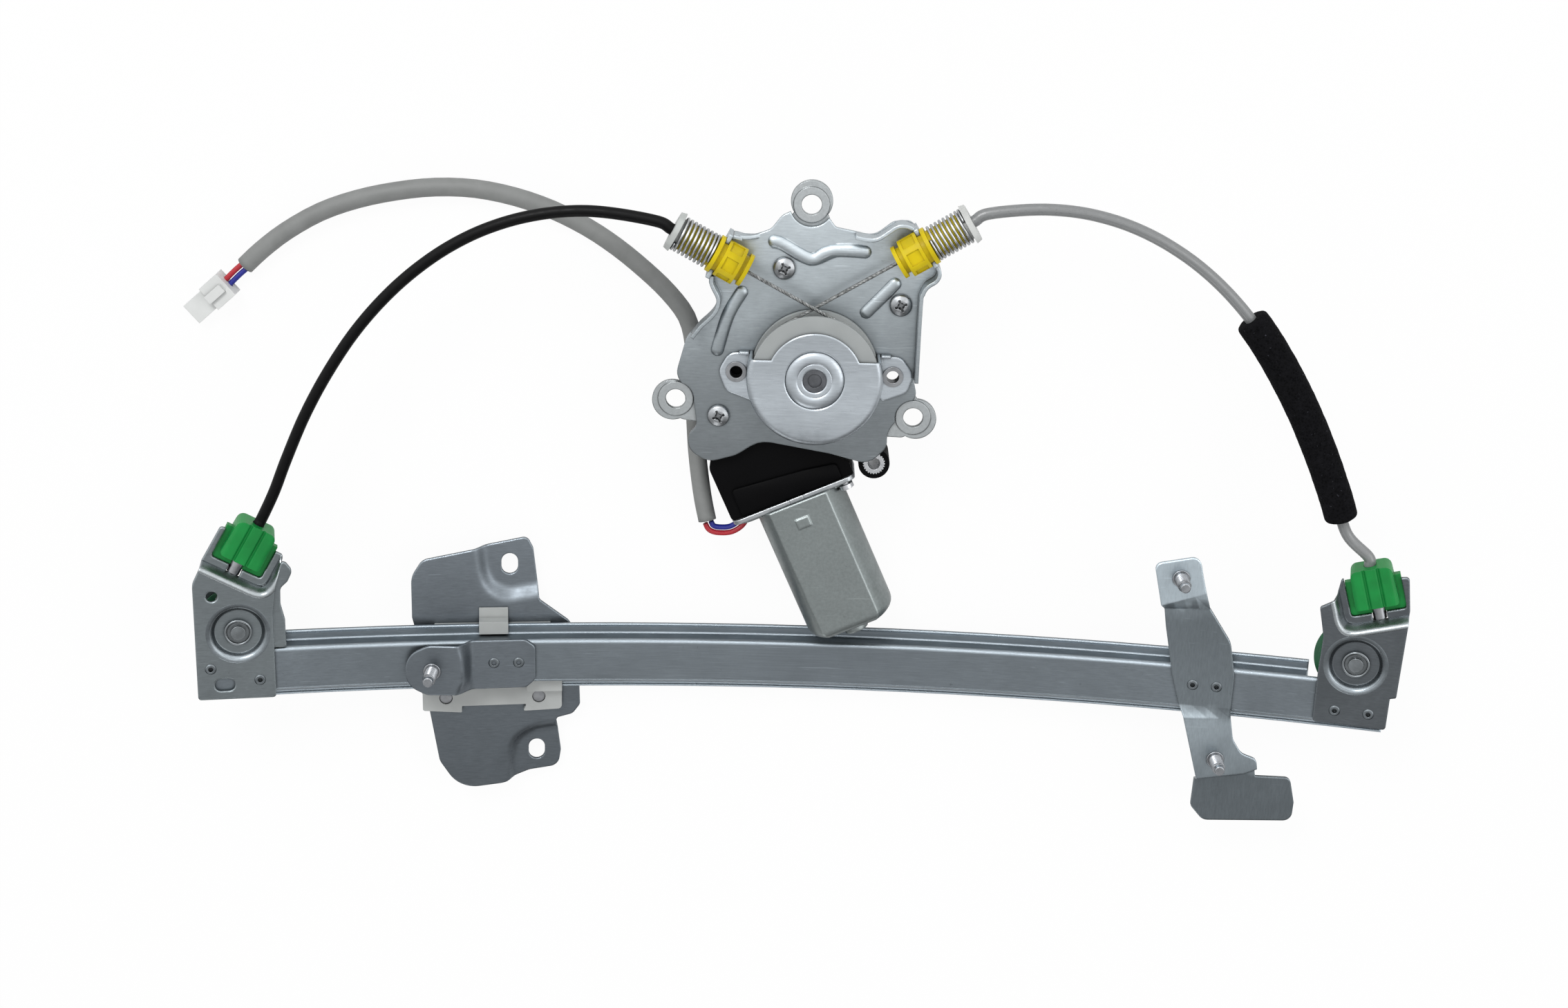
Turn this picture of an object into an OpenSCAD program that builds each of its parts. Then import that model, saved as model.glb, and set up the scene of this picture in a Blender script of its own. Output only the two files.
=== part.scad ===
// Power window regulator: cable drum head, bowed single rail, two conduits, lift plate, motor
// Millimetres. Origin: centre of the three-ear bolt circle on the ears' top faces.
// X along the rail, Y from the rail towards the head, Z out of the door panel plane.

/* [Head plate] */
// pitch circle diameter of the three mounting ears
ear_pcd = 117.8; // [112:0.2:124]
// mounting hole diameter in each ear
ear_hole_d = 8.5; // [6.5:0.1:9.5]
// radius of each ear
ear_r = 8.8; // [8:0.1:11]
// height of the pad round each ear hole
ear_pad = 0.6; // [0.3:0.1:1.2]
// thickness of the drum plate and the motor bracket
head_t = 2; // [1.2:0.1:2.6]
// height of the stiffening flange round the drum plate
fence_h = 8; // [5:0.5:9]

/* [Drum and cover] */
// radius of the cable path on the drum
drum_cable_r = 25.4; // [24:0.2:27]
// height of the drum between its two end faces
drum_h = 13.6; // [13:0.2:16]
// radius of the output shaft
shaft_r = 5; // [4:0.1:6]
// sheet thickness of the drum cover
cover_t = 1.2; // [0.8:0.1:1.6]
// gap between the drum rim and the cover
cover_gap = 0.5; // [0.4:0.1:1.2]

/* [Cable and conduits] */
// diameter of the wire rope
rope_d = 1.6; // [1.2:0.1:1.8]
// outside diameter of the two conduits
conduit_d = 5; // [4:0.2:6]
// outside diameter of the foam sleeve
foam_d = 14.5; // [11:0.5:18]
// largest radius of the yellow guide
guide_r = 8.2; // [7.6:0.1:8.8]
// wire diameter of the tensioner spring
spring_wire = 1.4; // [1:0.1:1.5]
// number of coils of the tensioner spring
spring_turns = 9; // [6:1:10]
// length of the tensioner spring as fitted
spring_len = 17; // [15:0.5:20]

/* [Motor] */
// diameter of the motor can
can_d = 40; // [38:0.2:41]
// distance between the two flats of the can
can_flat = 30; // [28:0.2:31]
// length of the can from flange to end face
can_len = 64.4; // [58:0.2:65]
// pitch radius of the worm wheel
wheel_r = 25.5; // [24:0.1:25.8]
// pitch radius of the worm
worm_r = 4; // [3.6:0.1:4.3]
// number of worm wheel teeth
wheel_teeth = 61; // [55:1:64]
// radius of the armature shaft
arm_shaft_r = 2.5; // [2:0.1:2.8]

/* [Rail] */
// bow radius of the rail at its front face
rail_r = 1100; // [1000:10:1300]
// outside width of the rail web
rail_web = 20.6; // [19:0.2:22]
// depth of the rail section
rail_depth = 9.5; // [9.5:0.1:11]
// width of each rail flange
rail_flange = 4.9; // [4.2:0.1:5.2]
// sheet thickness of the rail and its brackets
rail_t = 1.5; // [1.2:0.1:1.8]

/* [Pulleys] */
// radius of the cable path on each pulley
pulley_r = 14; // [12:0.1:14.4]
// height of each pulley
pulley_w = 6.4; // [5:0.1:6.4]
// radius of each pulley pin
pin_r = 3; // [2.5:0.1:3.5]

/* [Lift plate] */
// sheet thickness of the lift plate
lift_t = 1.6; // [1.2:0.1:2]
// depth of the two glass pads
pad_drop = 3.5; // [2:0.1:4]
// width of the glass slots
slot_w = 7.4; // [6.4:0.1:8.4]
// length of the glass slots
slot_l = 10; // [8.5:0.1:12]

/* [Studs and screws] */
// diameter of the three weld studs
stud_d = 6; // [5:0.1:8]
// height of the studs above their brackets
stud_h = 13; // [9:0.5:18]
// head diameter of the three plate screws
screw_head_d = 9.6; // [8:0.1:10.4]

/* [Harness] */
// outside diameter of the harness sleeve
sleeve_d = 8; // [6:0.5:8]
// diameter of each motor lead
lead_d = 2.4; // [1.8:0.1:2.4]

/* [Hidden] */
$fn = 96;
fit = 0.05;

// levels of the head, from the ears' top face at zero
plate_z = -ear_pad;
plate_top = plate_z + head_t;
bracket_z = plate_z - head_t;
cable_z = plate_top + guide_r + 0.3;
drum_z = plate_top + 0.8;
drum_top = drum_z + drum_h;
cover_z = drum_top + 0.6;
drum_x = 6.5;
drum_y = -12.2;
rim_r = drum_cable_r + 1.6;
cover_r = rim_r + cover_gap + cover_t;
// motor axis in plan: u along the armature, n across it
axis_deg = -65.8;
worm_gap = wheel_r + worm_r;
motor_z = -13.5;
floor_z = -34;
tooth = 2 * PI * wheel_r / wheel_teeth;
// cable lines from the drum to the yellow guides: tangent, slope and start
left_deg = 28;
right_deg = 31;
left_t = 47;
right_t = 54;
left_rope_z = cable_z + rope_d / 2 + 0.25;
right_rope_z = cable_z - rope_d / 2 - 0.25;
// rail frame
rail_y = -154.8;
rail_mid = -18.5;
rail_zc = rail_mid + rail_r;
pulley_y = -136.2;
pulley_mid = -5.9;
left_s = -245;
right_s = 250;
bracket_t = rail_t + 0.1;
// the flat brackets bridge the bowed web, so they sit a little above its middle
seat_z = 0.18;
rope_y = pulley_y - pulley_r;
pulley_rim = pulley_r + 2.4;
pulley_base = pulley_r + 4.2;
tube_r = 3;
left_tilt = 29.5;
right_tilt = 16.5;
left_run = 37.8;
right_run = 33.2;
shelf_z = -4.8;
// small step where a sheet ramp meets its flats
lap = 0.02;
// carriage place in the picture, along the rail
carriage_s = -134;
lift_top = -rail_depth - 3.1;

function unit(v) = v / norm(v);
function flip(p) = [for (i = [len(p) - 1:-1:0]) p[i]];
// one corner [x, y, r] between its neighbours, as an arc of points
function corner(p, q, s) = q[2] == 0 ? [[q[0], q[1]]] :
    let (c = [q[0], q[1]], a = unit([p[0], p[1]] - c), b = unit([s[0], s[1]] - c),
        h = acos(a * b) / 2, m = c + unit(a + b) * q[2] / sin(h),
        u = c + a * q[2] / tan(h) - m, w = c + b * q[2] / tan(h) - m,
        t = atan2(u[1], u[0]), e = atan2(w[1], w[0]) - t,
        d = e > 180 ? e - 360 : e < -180 ? e + 360 : e, n = max(2, ceil(abs(d) / 15)))
    [for (i = [0:n]) m + q[2] * [cos(t + d * i / n), sin(t + d * i / n)]];
function rounded(p) = [for (i = [0:len(p) - 1])
    each corner(p[(i + len(p) - 1) % len(p)], p[i], p[(i + 1) % len(p)])];
// smooth curve through points, k steps a span
function spline(p, k) = concat([for (i = [0:len(p) - 2])
    let (a = p[max(i - 1, 0)], b = p[i], c = p[i + 1], d = p[min(i + 2, len(p) - 1)])
    for (j = [0:k - 1]) let (t = j / k)
    0.5 * (2 * b + (c - a) * t + (2 * a - 5 * b + 4 * c - d) * t * t
        + (3 * b - a - 3 * c + d) * t * t * t)], [p[len(p) - 1]]);
// flat curve moved sideways by t
function beside(p, t) = [for (i = [0:len(p) - 1])
    let (d = unit(p[min(i + 1, len(p) - 1)] - p[max(i - 1, 0)]), n = [-d[1], d[0]])
    p[i] + t * (len(p[0]) == 2 ? n : [n[0], n[1], 0])];
function strip(p, t) = concat(p, flip(beside(p, t)));
// rings of a round tube along a path that never points straight up
function rings(p, r, n) = [for (i = [0:len(p) - 1])
    let (t = unit(p[min(i + 1, len(p) - 1)] - p[max(i - 1, 0)]),
        s = unit(cross(t, [0, 0, 1])), u = cross(s, t))
    [for (j = [0:n - 1]) p[i] + r * (u * cos(360 * j / n) + s * sin(360 * j / n))]];
// solid through closed rings of points, each ring turning right-handed about the way on
module skin(r) {
    n = len(r[0]);
    m = len(r);
    polyhedron([for (s = r) each s], concat([[for (j = [0:n - 1]) j]],
        [for (i = [0:m - 2]) for (j = [0:n - 1]) let (k = (j + 1) % n)
            each [[i * n + j, (i + 1) * n + j, (i + 1) * n + k],
                [i * n + j, (i + 1) * n + k, i * n + k]]],
        [[for (j = [n - 1:-1:0]) (m - 1) * n + j]]));
}
// hollow tube along a path
module pipe(p, ro, ri, n) {
    m = len(p);
    a = rings(p, ro, n);
    b = rings(p, ri, n);
    e = m - 1;
    polyhedron(concat([for (s = a) each s], [for (s = b) each s]),
        concat([for (i = [0:m - 2]) for (j = [0:n - 1]) let (k = (j + 1) % n, o = i * n)
            each [[o + j, o + n + j, o + n + k], [o + j, o + n + k, o + k],
                [m * n + o + j, m * n + o + n + k, m * n + o + n + j],
                [m * n + o + j, m * n + o + k, m * n + o + n + k]]],
        [for (j = [0:n - 1]) let (k = (j + 1) % n)
            each [[j, k, m * n + k], [j, m * n + k, m * n + j],
                [e * n + j, (m + e) * n + k, e * n + k],
                [e * n + j, (m + e) * n + j, (m + e) * n + k]]]));
}
// sheet ramp between two edges given as 3-D points of the top face, going left to right
module ramp(a, b, t) {
    skin([for (i = [0:len(a) - 1])
        [a[i], a[i] - [0, 0, t], b[i] - [0, 0, t], b[i]]]);
}
module plate(p, z, t) {
    translate([0, 0, z]) linear_extrude(t) polygon(rounded(p));
}
module pin(x, y, z, r, h) {
    translate([x, y, z]) cylinder(r = r, h = h);
}
module box(x, y, z, w, d, h) {
    translate([x, y, z]) cube([w, d, h]);
}
module at_drum() {
    translate([drum_x, drum_y, 0]) children();
}
// frame of the armature: X along the can, Y across it, origin at the foot on the wheel's centre
module at_motor() {
    translate([drum_x, drum_y, motor_z]) rotate([0, 0, axis_deg])
        translate([0, -worm_gap, 0]) children();
}
// frame at arc length s on the rail's front face
module on_rail(s) {
    translate([0, 0, rail_zc]) rotate([0, -s / rail_r * 180 / PI, 0])
        translate([0, 0, -rail_r]) children();
}
function rail_pt(s, p) = let (a = s / rail_r * 180 / PI)
    [(rail_r - p[2]) * sin(a) + p[0] * cos(a), p[1],
        rail_zc - (rail_r - p[2]) * cos(a) + p[0] * sin(a)];
// frames of the cable lines at the head: X outwards along the cable, from its tangent point
module at_left() {
    at_drum() rotate([0, 0, 180 - left_deg]) translate([0, -drum_cable_r, cable_z]) children();
}
module at_right() {
    at_drum() rotate([0, 0, right_deg]) translate([0, drum_cable_r, cable_z]) children();
}
function left_pt(t) = let (a = left_deg) [drum_x + drum_cable_r * sin(a) - t * cos(a),
    drum_y + drum_cable_r * cos(a) + t * sin(a), cable_z];
function right_pt(t) = let (a = right_deg) [drum_x - drum_cable_r * sin(a) + t * cos(a),
    drum_y + drum_cable_r * cos(a) + t * sin(a), cable_z];
// frames of the end guides in their brackets: Y outwards along the cable
function guide_x(side, tilt, run) = side * (-pulley_r * cos(tilt) + run * sin(tilt));
function guide_y(tilt, run) = pulley_y + pulley_r * sin(tilt) + run * cos(tilt);
module at_left_guide() {
    on_rail(left_s) translate([guide_x(1, left_tilt, left_run), guide_y(left_tilt, left_run), 0])
        rotate([0, 0, -left_tilt]) children();
}
module at_right_guide() {
    on_rail(right_s)
        translate([guide_x(-1, right_tilt, right_run), guide_y(right_tilt, right_run), 0])
        rotate([0, 0, right_tilt]) mirror([1, 0, 0]) children();
}
function left_end(t) = let (a = left_tilt) rail_pt(left_s, [guide_x(1, a, left_run) + t * sin(a),
    guide_y(a, left_run) + t * cos(a), pulley_mid]);
function right_end(t) = let (a = right_tilt) rail_pt(right_s,
    [guide_x(-1, a, right_run) - t * sin(a), guide_y(a, right_run) + t * cos(a), pulley_mid]);
// places of the ears, and of the screws through the drum plate
pad_r = ear_r - 1.2;
ear_turn = [86.9, 206.9, 326.9];
ears = [for (a = ear_turn) ear_pcd / 2 * [cos(a), sin(a)]];
screws = [[-7.5, 32], [42, 17.5], [-34, -33]];
// the two rivets stand clear of the cover's wall and of the worm wheel's bowl
eyelet_reach = max(cover_r, wheel_r + 2) + 4.6;
eyelets = [[drum_x - eyelet_reach, drum_y - 1], [drum_x + eyelet_reach, drum_y - 1.4]];
boss_at = [33.5, -54];
can_screw_at = [[-can_d / 2 - 3.9, 0], [can_d / 2 + 1.9, 8.5]];
// edges of the brush box and flange across the can, and the leads' hole
box_n0 = -can_d / 2 - 10;
box_n1 = can_d / 2 + 7;
lead_n = -can_d / 2 - 6;

// drum plate
plate_edge = [[-30.8, 46.2, 1.5], [-20, 45.8, 9], [-13.5, 48.2, 5], [-9, 54.2, 5], [-4.4, 56.4, 1],
    [11, 53.2, 1], [13.5, 49.8, 2.5], [21, 48.4, 4], [29.5, 46.6, 8], [37.5, 53, 5],
    [45, 53.6, 4], [48.6, 48.6, 1], [55.4, 37.6, 1], [59, 32, 5], [51, 24.4, 8],
    [50.6, -14.6, 1], [48.8, -15, 0.4], [50.4, -22, 5], [38.4, -38.5, 9], [38.6, -45.5, 6],
    [31, -53.2, 8], [14, -48.8, 22], [-16, -43.8, 12], [-26, -50.6, 11], [-38, -54.2, 9],
    [-48.2, -48, 7], [-46, -41, 4], [-43.2, -38.2, 4], [-44.6, -27, 6], [-52.6, -15.5, 7],
    [-48, 1.5, 8], [-36, 13.5, 5], [-34.2, 18.6, 4], [-39.2, 24.5, 3], [-38.6, 29.8, 1]];
module rib(p, z, w, h, e) {
    // pressed rib: ridge of five flats that fades out at both ends
    c = spline(p, 3);
    m = len(c) - 1;
    skin([for (i = [0:m]) let (d = unit(c[min(i + 1, m)] - c[max(i - 1, 0)]), n = [-d[1], d[0]],
        f = i == 0 || i == m ? 0.15 : 1, v = w / 2 * (i == 0 || i == m ? 0.6 : 1))
        [for (q = [[v, -e], [v, 0], [v * 0.72, h * 0.6 * f], [v * 0.3, h * f],
            [-v * 0.3, h * f], [-v * 0.72, h * 0.6 * f], [-v, 0], [-v, -e]])
            [c[i][0] + n[0] * q[0], c[i][1] + n[1] * q[0], z + q[1]]]]);
}
module fence(p, h) {
    translate([0, 0, plate_z]) linear_extrude(h + head_t) polygon(strip(spline(p, 3), -1.6));
}
module fences() {
    // upright edges of the plate, the first with its end bent down
    difference() {
        fence([[-31, 46], [-28.4, 46.9], [-24, 45.9], [-19.6, 46], [-15.5, 47.2]], fence_h);
        translate([-16, 48, plate_top + fence_h - 4]) rotate([0, 30, 0])
            cube([20, 14, 9], center = true);
    }
    fence([[-46.2, 3], [-42.5, 8], [-38.4, 12], [-36, 15.5], [-35.6, 19.6], [-37.4, 23.4],
        [-38.6, 26.5], [-38.3, 29.6]], fence_h);
    fence([[22, 48.2], [26, 47.4], [30.4, 47.5], [34.6, 50.2], [38.5, 52.9], [42.5, 53.4],
        [46.5, 51.8], [48.4, 49]], fence_h);
    fence([[55.2, 37.8], [57.5, 35], [58, 32], [56.4, 29], [53, 26.6], [51.4, 23.6],
        [50.8, 19], [50.4, -14.4]], fence_h);
}
module guide_room() {
    // space that the guide needs between the fences
    rotate([0, 90, 0]) cylinder(r = guide_r + 0.2, h = 12.04);
    translate([11, 0, 0]) rotate([0, 90, 0]) cylinder(r = guide_r - 1.6 + fit, h = 4);
    translate([13.96, 0, 0]) rotate([0, 90, 0]) cylinder(r = guide_r + 0.2, h = 9);
}
module guide_wall(w) {
    // upright wall across the cable line with a round-bottomed notch for the guide's groove
    difference() {
        translate([12.1, -w, plate_z - cable_z]) cube([1.8, 2 * w, cable_z - plate_z + 2.2]);
        translate([11, 0, 0]) rotate([0, 90, 0]) cylinder(r = guide_r - 1.6 + fit, h = 4);
        translate([11, 1.9 - guide_r, 0]) cube([4, 2 * guide_r - 3.8, 20]);
    }
}
rib_a = [[-14, 43], [-7.5, 42], [3.5, 36], [15.5, 40.5], [28, 39.8]];
rib_b = [[-24, 22.5], [-30.5, 12], [-35.3, -6]];
rib_c = [[40.5, 28], [26.5, 12.7]];
module drum_plate() {
    color([0.7, 0.71, 0.71]) {
        difference() {
            union() {
                plate(plate_edge, plate_z, head_t);
                for (p = [rib_a, rib_b, rib_c])
                    rib(p, plate_top, 5.2, 1.4, 0.6);
            }
            for (p = [rib_a, rib_b, rib_c])
                rib(p, plate_z, 4, 1.1, 0.5);
            for (i = [0:2])
                pin(ears[i][0], ears[i][1], -9, i == 0 ? ear_r + 0.3 : pad_r + 0.3, 30);
            at_drum() pin(0, 0, -9, shaft_r + 4, 30);
            for (q = screws)
                pin(q[0], q[1], -9, 2.4, 30);
            for (q = eyelets)
                pin(q[0], q[1], -9, 3.6 + fit, 30);
        }
        difference() {
            fences();
            at_left() translate([left_t, 0, 0]) guide_room();
            at_right() translate([right_t, 0, 0]) guide_room();
        }
        at_left() translate([left_t, 0, 0]) guide_wall(10.4);
        at_right() translate([right_t, 0, 0]) guide_wall(9.2);
    }
}
// motor bracket with the three ears
bracket_edge = [[-5.2, 56, 4], [-6.4, 46, 8], [-24, 34, 10], [-32, 16, 8], [-40, -12, 6],
    [-50, -18.2, 2], [-52, -35.6, 3], [-40, -37, 4], [-30, -43, 6], [-14, -40, 10], [8, -42, 10],
    [28, -46, 6], [34, -41, 4], [46, -41.4, 3], [54, -28, 3], [46, -18, 6], [46, 24, 8],
    [30, 40, 10], [12, 46, 6], [10.6, 56, 4]];
module motor_bracket() {
    color([0.76, 0.77, 0.78]) difference() {
        union() {
            plate(bracket_edge, bracket_z, head_t);
            for (q = ears) {
                pin(q[0] * 1.025, q[1] * 1.025, bracket_z, ear_r, head_t);
                pin(q[0], q[1], bracket_z, pad_r, head_t + ear_pad);
            }
        }
        for (q = ears)
            pin(q[0], q[1], -9, ear_hole_d / 2, 30);
        at_drum() pin(0, 0, -9, shaft_r + 4, 30);
        for (q = screws)
            pin(q[0], q[1], -9, 2.4, 30);
        for (q = eyelets)
            pin(q[0], q[1], -9, 3.6 + fit, 30);
        pin(-16, 20, -9, 7, 30);
        pin(24, 24, -9, 6, 30);
        pin(-15, -35, -9, 4, 30);
    }
}
// drum cover: half cup over the drum, its hub round the shaft end, and two ears
cover_lip = 8.2;
module cover_shell() {
    h = cover_z + cover_t - plate_top;
    translate([0, 0, plate_top]) rotate_extrude() polygon(rounded([[cover_r - cover_t, 0, 0],
        [cover_r, 0, 0], [cover_r, h, 2.4], [0, h, 0], [0, h - cover_t, 0],
        [cover_r - cover_t, h - cover_t, 1.3]]));
}
module drum_cover() {
    color([0.78, 0.79, 0.81]) difference() {
        union() {
            at_drum() intersection() {
                cover_shell();
                translate([-60, cover_lip - 60, 0]) cube([120, 60, 60]);
            }
            at_drum() intersection() {
                pin(0, 0, cover_z, 20.2, cover_t);
                translate([-60, cover_lip - 1, 0]) cube([120, 60, 60]);
            }
            at_drum() pin(0, 0, cover_z, shaft_r + 2.6, cover_t + 0.7);
            difference() {
                plate([[-19.5, -26, 1], [-31, -21.8, 5], [-34.4, -13, 6], [-30, -5, 5],
                    [-21, -4.4, 0.5], [-12, -13, 1]], plate_top, cover_t);
                at_drum() pin(0, 0, -1, cover_r - cover_t, 40);
            }
            difference() {
                plate([[36, -24.6, 1], [46, -20.6, 4], [48.6, -12.5, 6], [43.2, -5, 5],
                    [34.4, -4.8, 0.5], [25, -13, 1]], plate_top, cover_t);
                at_drum() pin(0, 0, -1, cover_r - cover_t, 40);
            }
            at_drum() for (a = [0, 1]) mirror([a, 0, 0])
                translate([cover_r - 0.6, cover_lip - cover_t, plate_top]) cube([4, cover_t, 3.2]);
        }
        for (q = eyelets)
            pin(q[0], q[1], -9, 3.6 + fit, 30);
        at_drum() pin(0, 0, 0, shaft_r + 0.08, 40);
        at_drum() translate([0, 0, cover_z + cover_t - 0.5]) difference() {
            cylinder(r = 12.5, h = 2);
            cylinder(r = 10.9, h = 2);
        }
    }
}
module cover_eyelets() {
    // tubular rivets through cover, drum plate and motor bracket
    color([0.72, 0.72, 0.74]) for (q = eyelets)
        difference() {
            union() {
                pin(q[0], q[1], bracket_z - 0.5, 3.6, plate_top + cover_t - bracket_z + 1.1);
                pin(q[0], q[1], plate_top + cover_t, 4.4, 0.6);
                pin(q[0], q[1], bracket_z - 0.5, 4.3, 0.5);
            }
            pin(q[0], q[1], -12, 2.7, 30);
        }
}
module plate_screws() {
    // cross-recessed pan screws through plate and bracket into the housing
    color([0.8, 0.8, 0.82]) for (q = screws)
        translate([q[0], q[1], plate_top]) difference() {
            union() {
                translate([0, 0, -16]) cylinder(r = 2.3, h = 16.1);
                rotate_extrude() polygon(rounded([[0, 0, 0], [screw_head_d / 2, 0, 0.3],
                    [screw_head_d / 2, 1.7, 1.4], [screw_head_d / 2 - 2.4, 2.6, 1.5],
                    [0, 2.6, 0]]));
            }
            for (a = [20, 110])
                rotate([0, 0, a]) translate([-2.7, -0.5, 1]) cube([5.4, 1, 3]);
            translate([0, 0, 1]) cylinder(r1 = 0.6, r2 = 1.6, h = 1.7);
        }
}
// cable drum with its rims, lightening pockets and keyed hub
module drum() {
    color([0.6, 0.61, 0.6]) at_drum() difference() {
        union() {
            pin(0, 0, drum_z, rim_r, 2.6);
            pin(0, 0, drum_z, drum_cable_r - rope_d / 2 - 0.3, drum_h);
            pin(0, 0, drum_top - 1.8, rim_r, 1.8);
        }
        pin(0, 0, 0, shaft_r + fit, 60);
        for (a = [0:60:300])
            rotate([0, 0, a]) pin(15, 0, drum_z + 3, 4.6, 60);
        for (a = [0, 120, 240])
            rotate([0, 0, a]) box(0, -1.25 - fit, drum_z - 1, shaft_r + 1.6, 2.5 + 2 * fit, 60);
    }
}
module output_shaft() {
    color([0.45, 0.45, 0.46]) at_drum() difference() {
        union() {
            pin(0, 0, floor_z + 2.6, shaft_r, cover_z + cover_t + 0.3 - floor_z - 2.6);
            for (a = [0, 120, 240])
                rotate([0, 0, a]) box(0, -1.25, drum_z + 0.3, shaft_r + 1.5, 2.5, drum_h - 1);
            for (a = [0, 120, 240])
                rotate([0, 0, a]) box(0, -1.25, motor_z - 4, shaft_r + 1.5, 2.5, 8);
        }
        pin(0, 0, cover_z + cover_t - 0.5, 3, 4);
    }
}
// worm wheel: straight teeth wide enough apart for the worm's lead
module worm_wheel() {
    ro = wheel_r + 0.75;
    ri = wheel_r - 1;
    color([0.9, 0.89, 0.84]) at_drum() difference() {
        union() {
            translate([0, 0, motor_z - 4.5]) linear_extrude(9)
                polygon([for (i = [0:wheel_teeth - 1]) let (s = 360 / wheel_teeth,
                    a = axis_deg - 90 + s * (i + 0.5))
                    each [ri * [cos(a - s * 0.3), sin(a - s * 0.3)],
                        ro * [cos(a - s * 0.14), sin(a - s * 0.14)],
                        ro * [cos(a + s * 0.14), sin(a + s * 0.14)],
                        ri * [cos(a + s * 0.3), sin(a + s * 0.3)]]]);
            pin(0, 0, floor_z + 5.2, 9.5, motor_z + 8 - floor_z - 5.2);
        }
        pin(0, 0, -60, shaft_r + fit, 90);
        for (a = [0, 120, 240])
            rotate([0, 0, a]) box(0, -1.25 - fit, motor_z - 4.1, shaft_r + 1.6, 2.5 + 2 * fit, 30);
        for (z = [motor_z + 2.2, motor_z - 7.2])
            translate([0, 0, z]) difference() {
                cylinder(r = wheel_r - 4, h = 5);
                cylinder(r = 9.5, h = 5);
            }
    }
}
// cable between drum and guides: straight run, then wound round the drum under the cover
module left_head_rope() {
    color([0.42, 0.41, 0.38]) at_drum() rotate([0, 0, 180 - left_deg])
        translate([0, 0, left_rope_z]) {
            translate([0, -drum_cable_r, 0]) rotate([0, 90, 0])
                cylinder(r = rope_d / 2, h = left_t + 3, $fn = 24);
            rotate([0, 0, 90]) rotate_extrude(angle = 180)
                translate([drum_cable_r, 0]) circle(r = rope_d / 2, $fn = 24);
        }
}
module right_head_rope() {
    color([0.42, 0.41, 0.38]) at_drum() rotate([0, 0, right_deg])
        translate([0, 0, right_rope_z]) {
            translate([0, drum_cable_r, 0]) rotate([0, 90, 0])
                cylinder(r = rope_d / 2, h = right_t + 3, $fn = 24);
            rotate([0, 0, 90]) rotate_extrude(angle = 180)
                translate([drum_cable_r, 0]) circle(r = rope_d / 2, $fn = 24);
        }
}
// yellow guide: end ring, groove, pocketed body, wall groove, flange and spring core
core_r = guide_r - spring_wire - 0.5;
module cable_guide() {
    difference() {
        union() {
            rotate([0, 90, 0]) cylinder(r = guide_r - 1, h = 1.7);
            rotate([0, 90, 0]) cylinder(r = guide_r - 2.4, h = 12);
            translate([3.6, 0, 0]) rotate([0, 90, 0]) cylinder(r = guide_r, h = 8.4);
            translate([11, 0, 0]) rotate([0, 90, 0]) cylinder(r = guide_r - 1.6, h = 4);
            translate([14, 0, 0]) rotate([0, 90, 0]) cylinder(r = guide_r, h = 1.8);
            translate([15, 0, 0]) rotate([0, 90, 0]) cylinder(r = core_r, h = spring_len - 2);
        }
        translate([-1, 0, 0]) rotate([0, 90, 0])
            cylinder(r = rope_d + 0.6, h = spring_len + 30);
        for (a = [0:60:300])
            rotate([a, 0, 0]) translate([5, -2.8, guide_r - 1]) cube([5.6, 5.6, 3]);
    }
}
module left_cable_guide() {
    color([0.85, 0.78, 0.1]) at_left() translate([left_t, 0, 0]) cable_guide();
}
module right_cable_guide() {
    color([0.85, 0.78, 0.1]) at_right() translate([right_t, 0, 0]) cable_guide();
}
module tension_spring() {
    // closed end coils are let out: the helix runs the whole free length between flange and cap
    r = core_r + spring_wire / 2 + 0.15;
    n = spring_turns * 16;
    p = spring_len - spring_wire - 0.1;
    skin([for (i = [0:n]) let (a = 360 * i / 16, x = 15.85 + spring_wire / 2 + p * i / n)
        [for (j = [0:5]) let (w = spring_wire / 2, b = -60 * j)
            [x + w * cos(b), (r + w * sin(b)) * cos(a), (r + w * sin(b)) * sin(a)]]]);
}
module left_spring() {
    color([0.82, 0.82, 0.8]) at_left() translate([left_t, 0, 0]) tension_spring();
}
module right_spring() {
    color([0.82, 0.82, 0.8]) at_right() translate([right_t, 0, 0]) tension_spring();
}
module spring_cap() {
    x = 15.8 + spring_len;
    difference() {
        union() {
            translate([x, 0, 0]) rotate([0, 90, 0]) cylinder(r1 = guide_r + 0.5,
                r2 = guide_r - 0.1, h = 2.4);
            translate([x - 2.7, 0, 0]) rotate([0, 90, 0]) cylinder(r = core_r, h = 2.8);
        }
        translate([x - 3, 0, 0]) rotate([0, 90, 0]) cylinder(r = conduit_d / 2 + 0.15, h = 9);
    }
}
module left_spring_cap() {
    color([0.7, 0.71, 0.7]) at_left() translate([left_t, 0, 0]) spring_cap();
}
module right_spring_cap() {
    color([0.7, 0.71, 0.7]) at_right() translate([right_t, 0, 0]) spring_cap();
}

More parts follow.
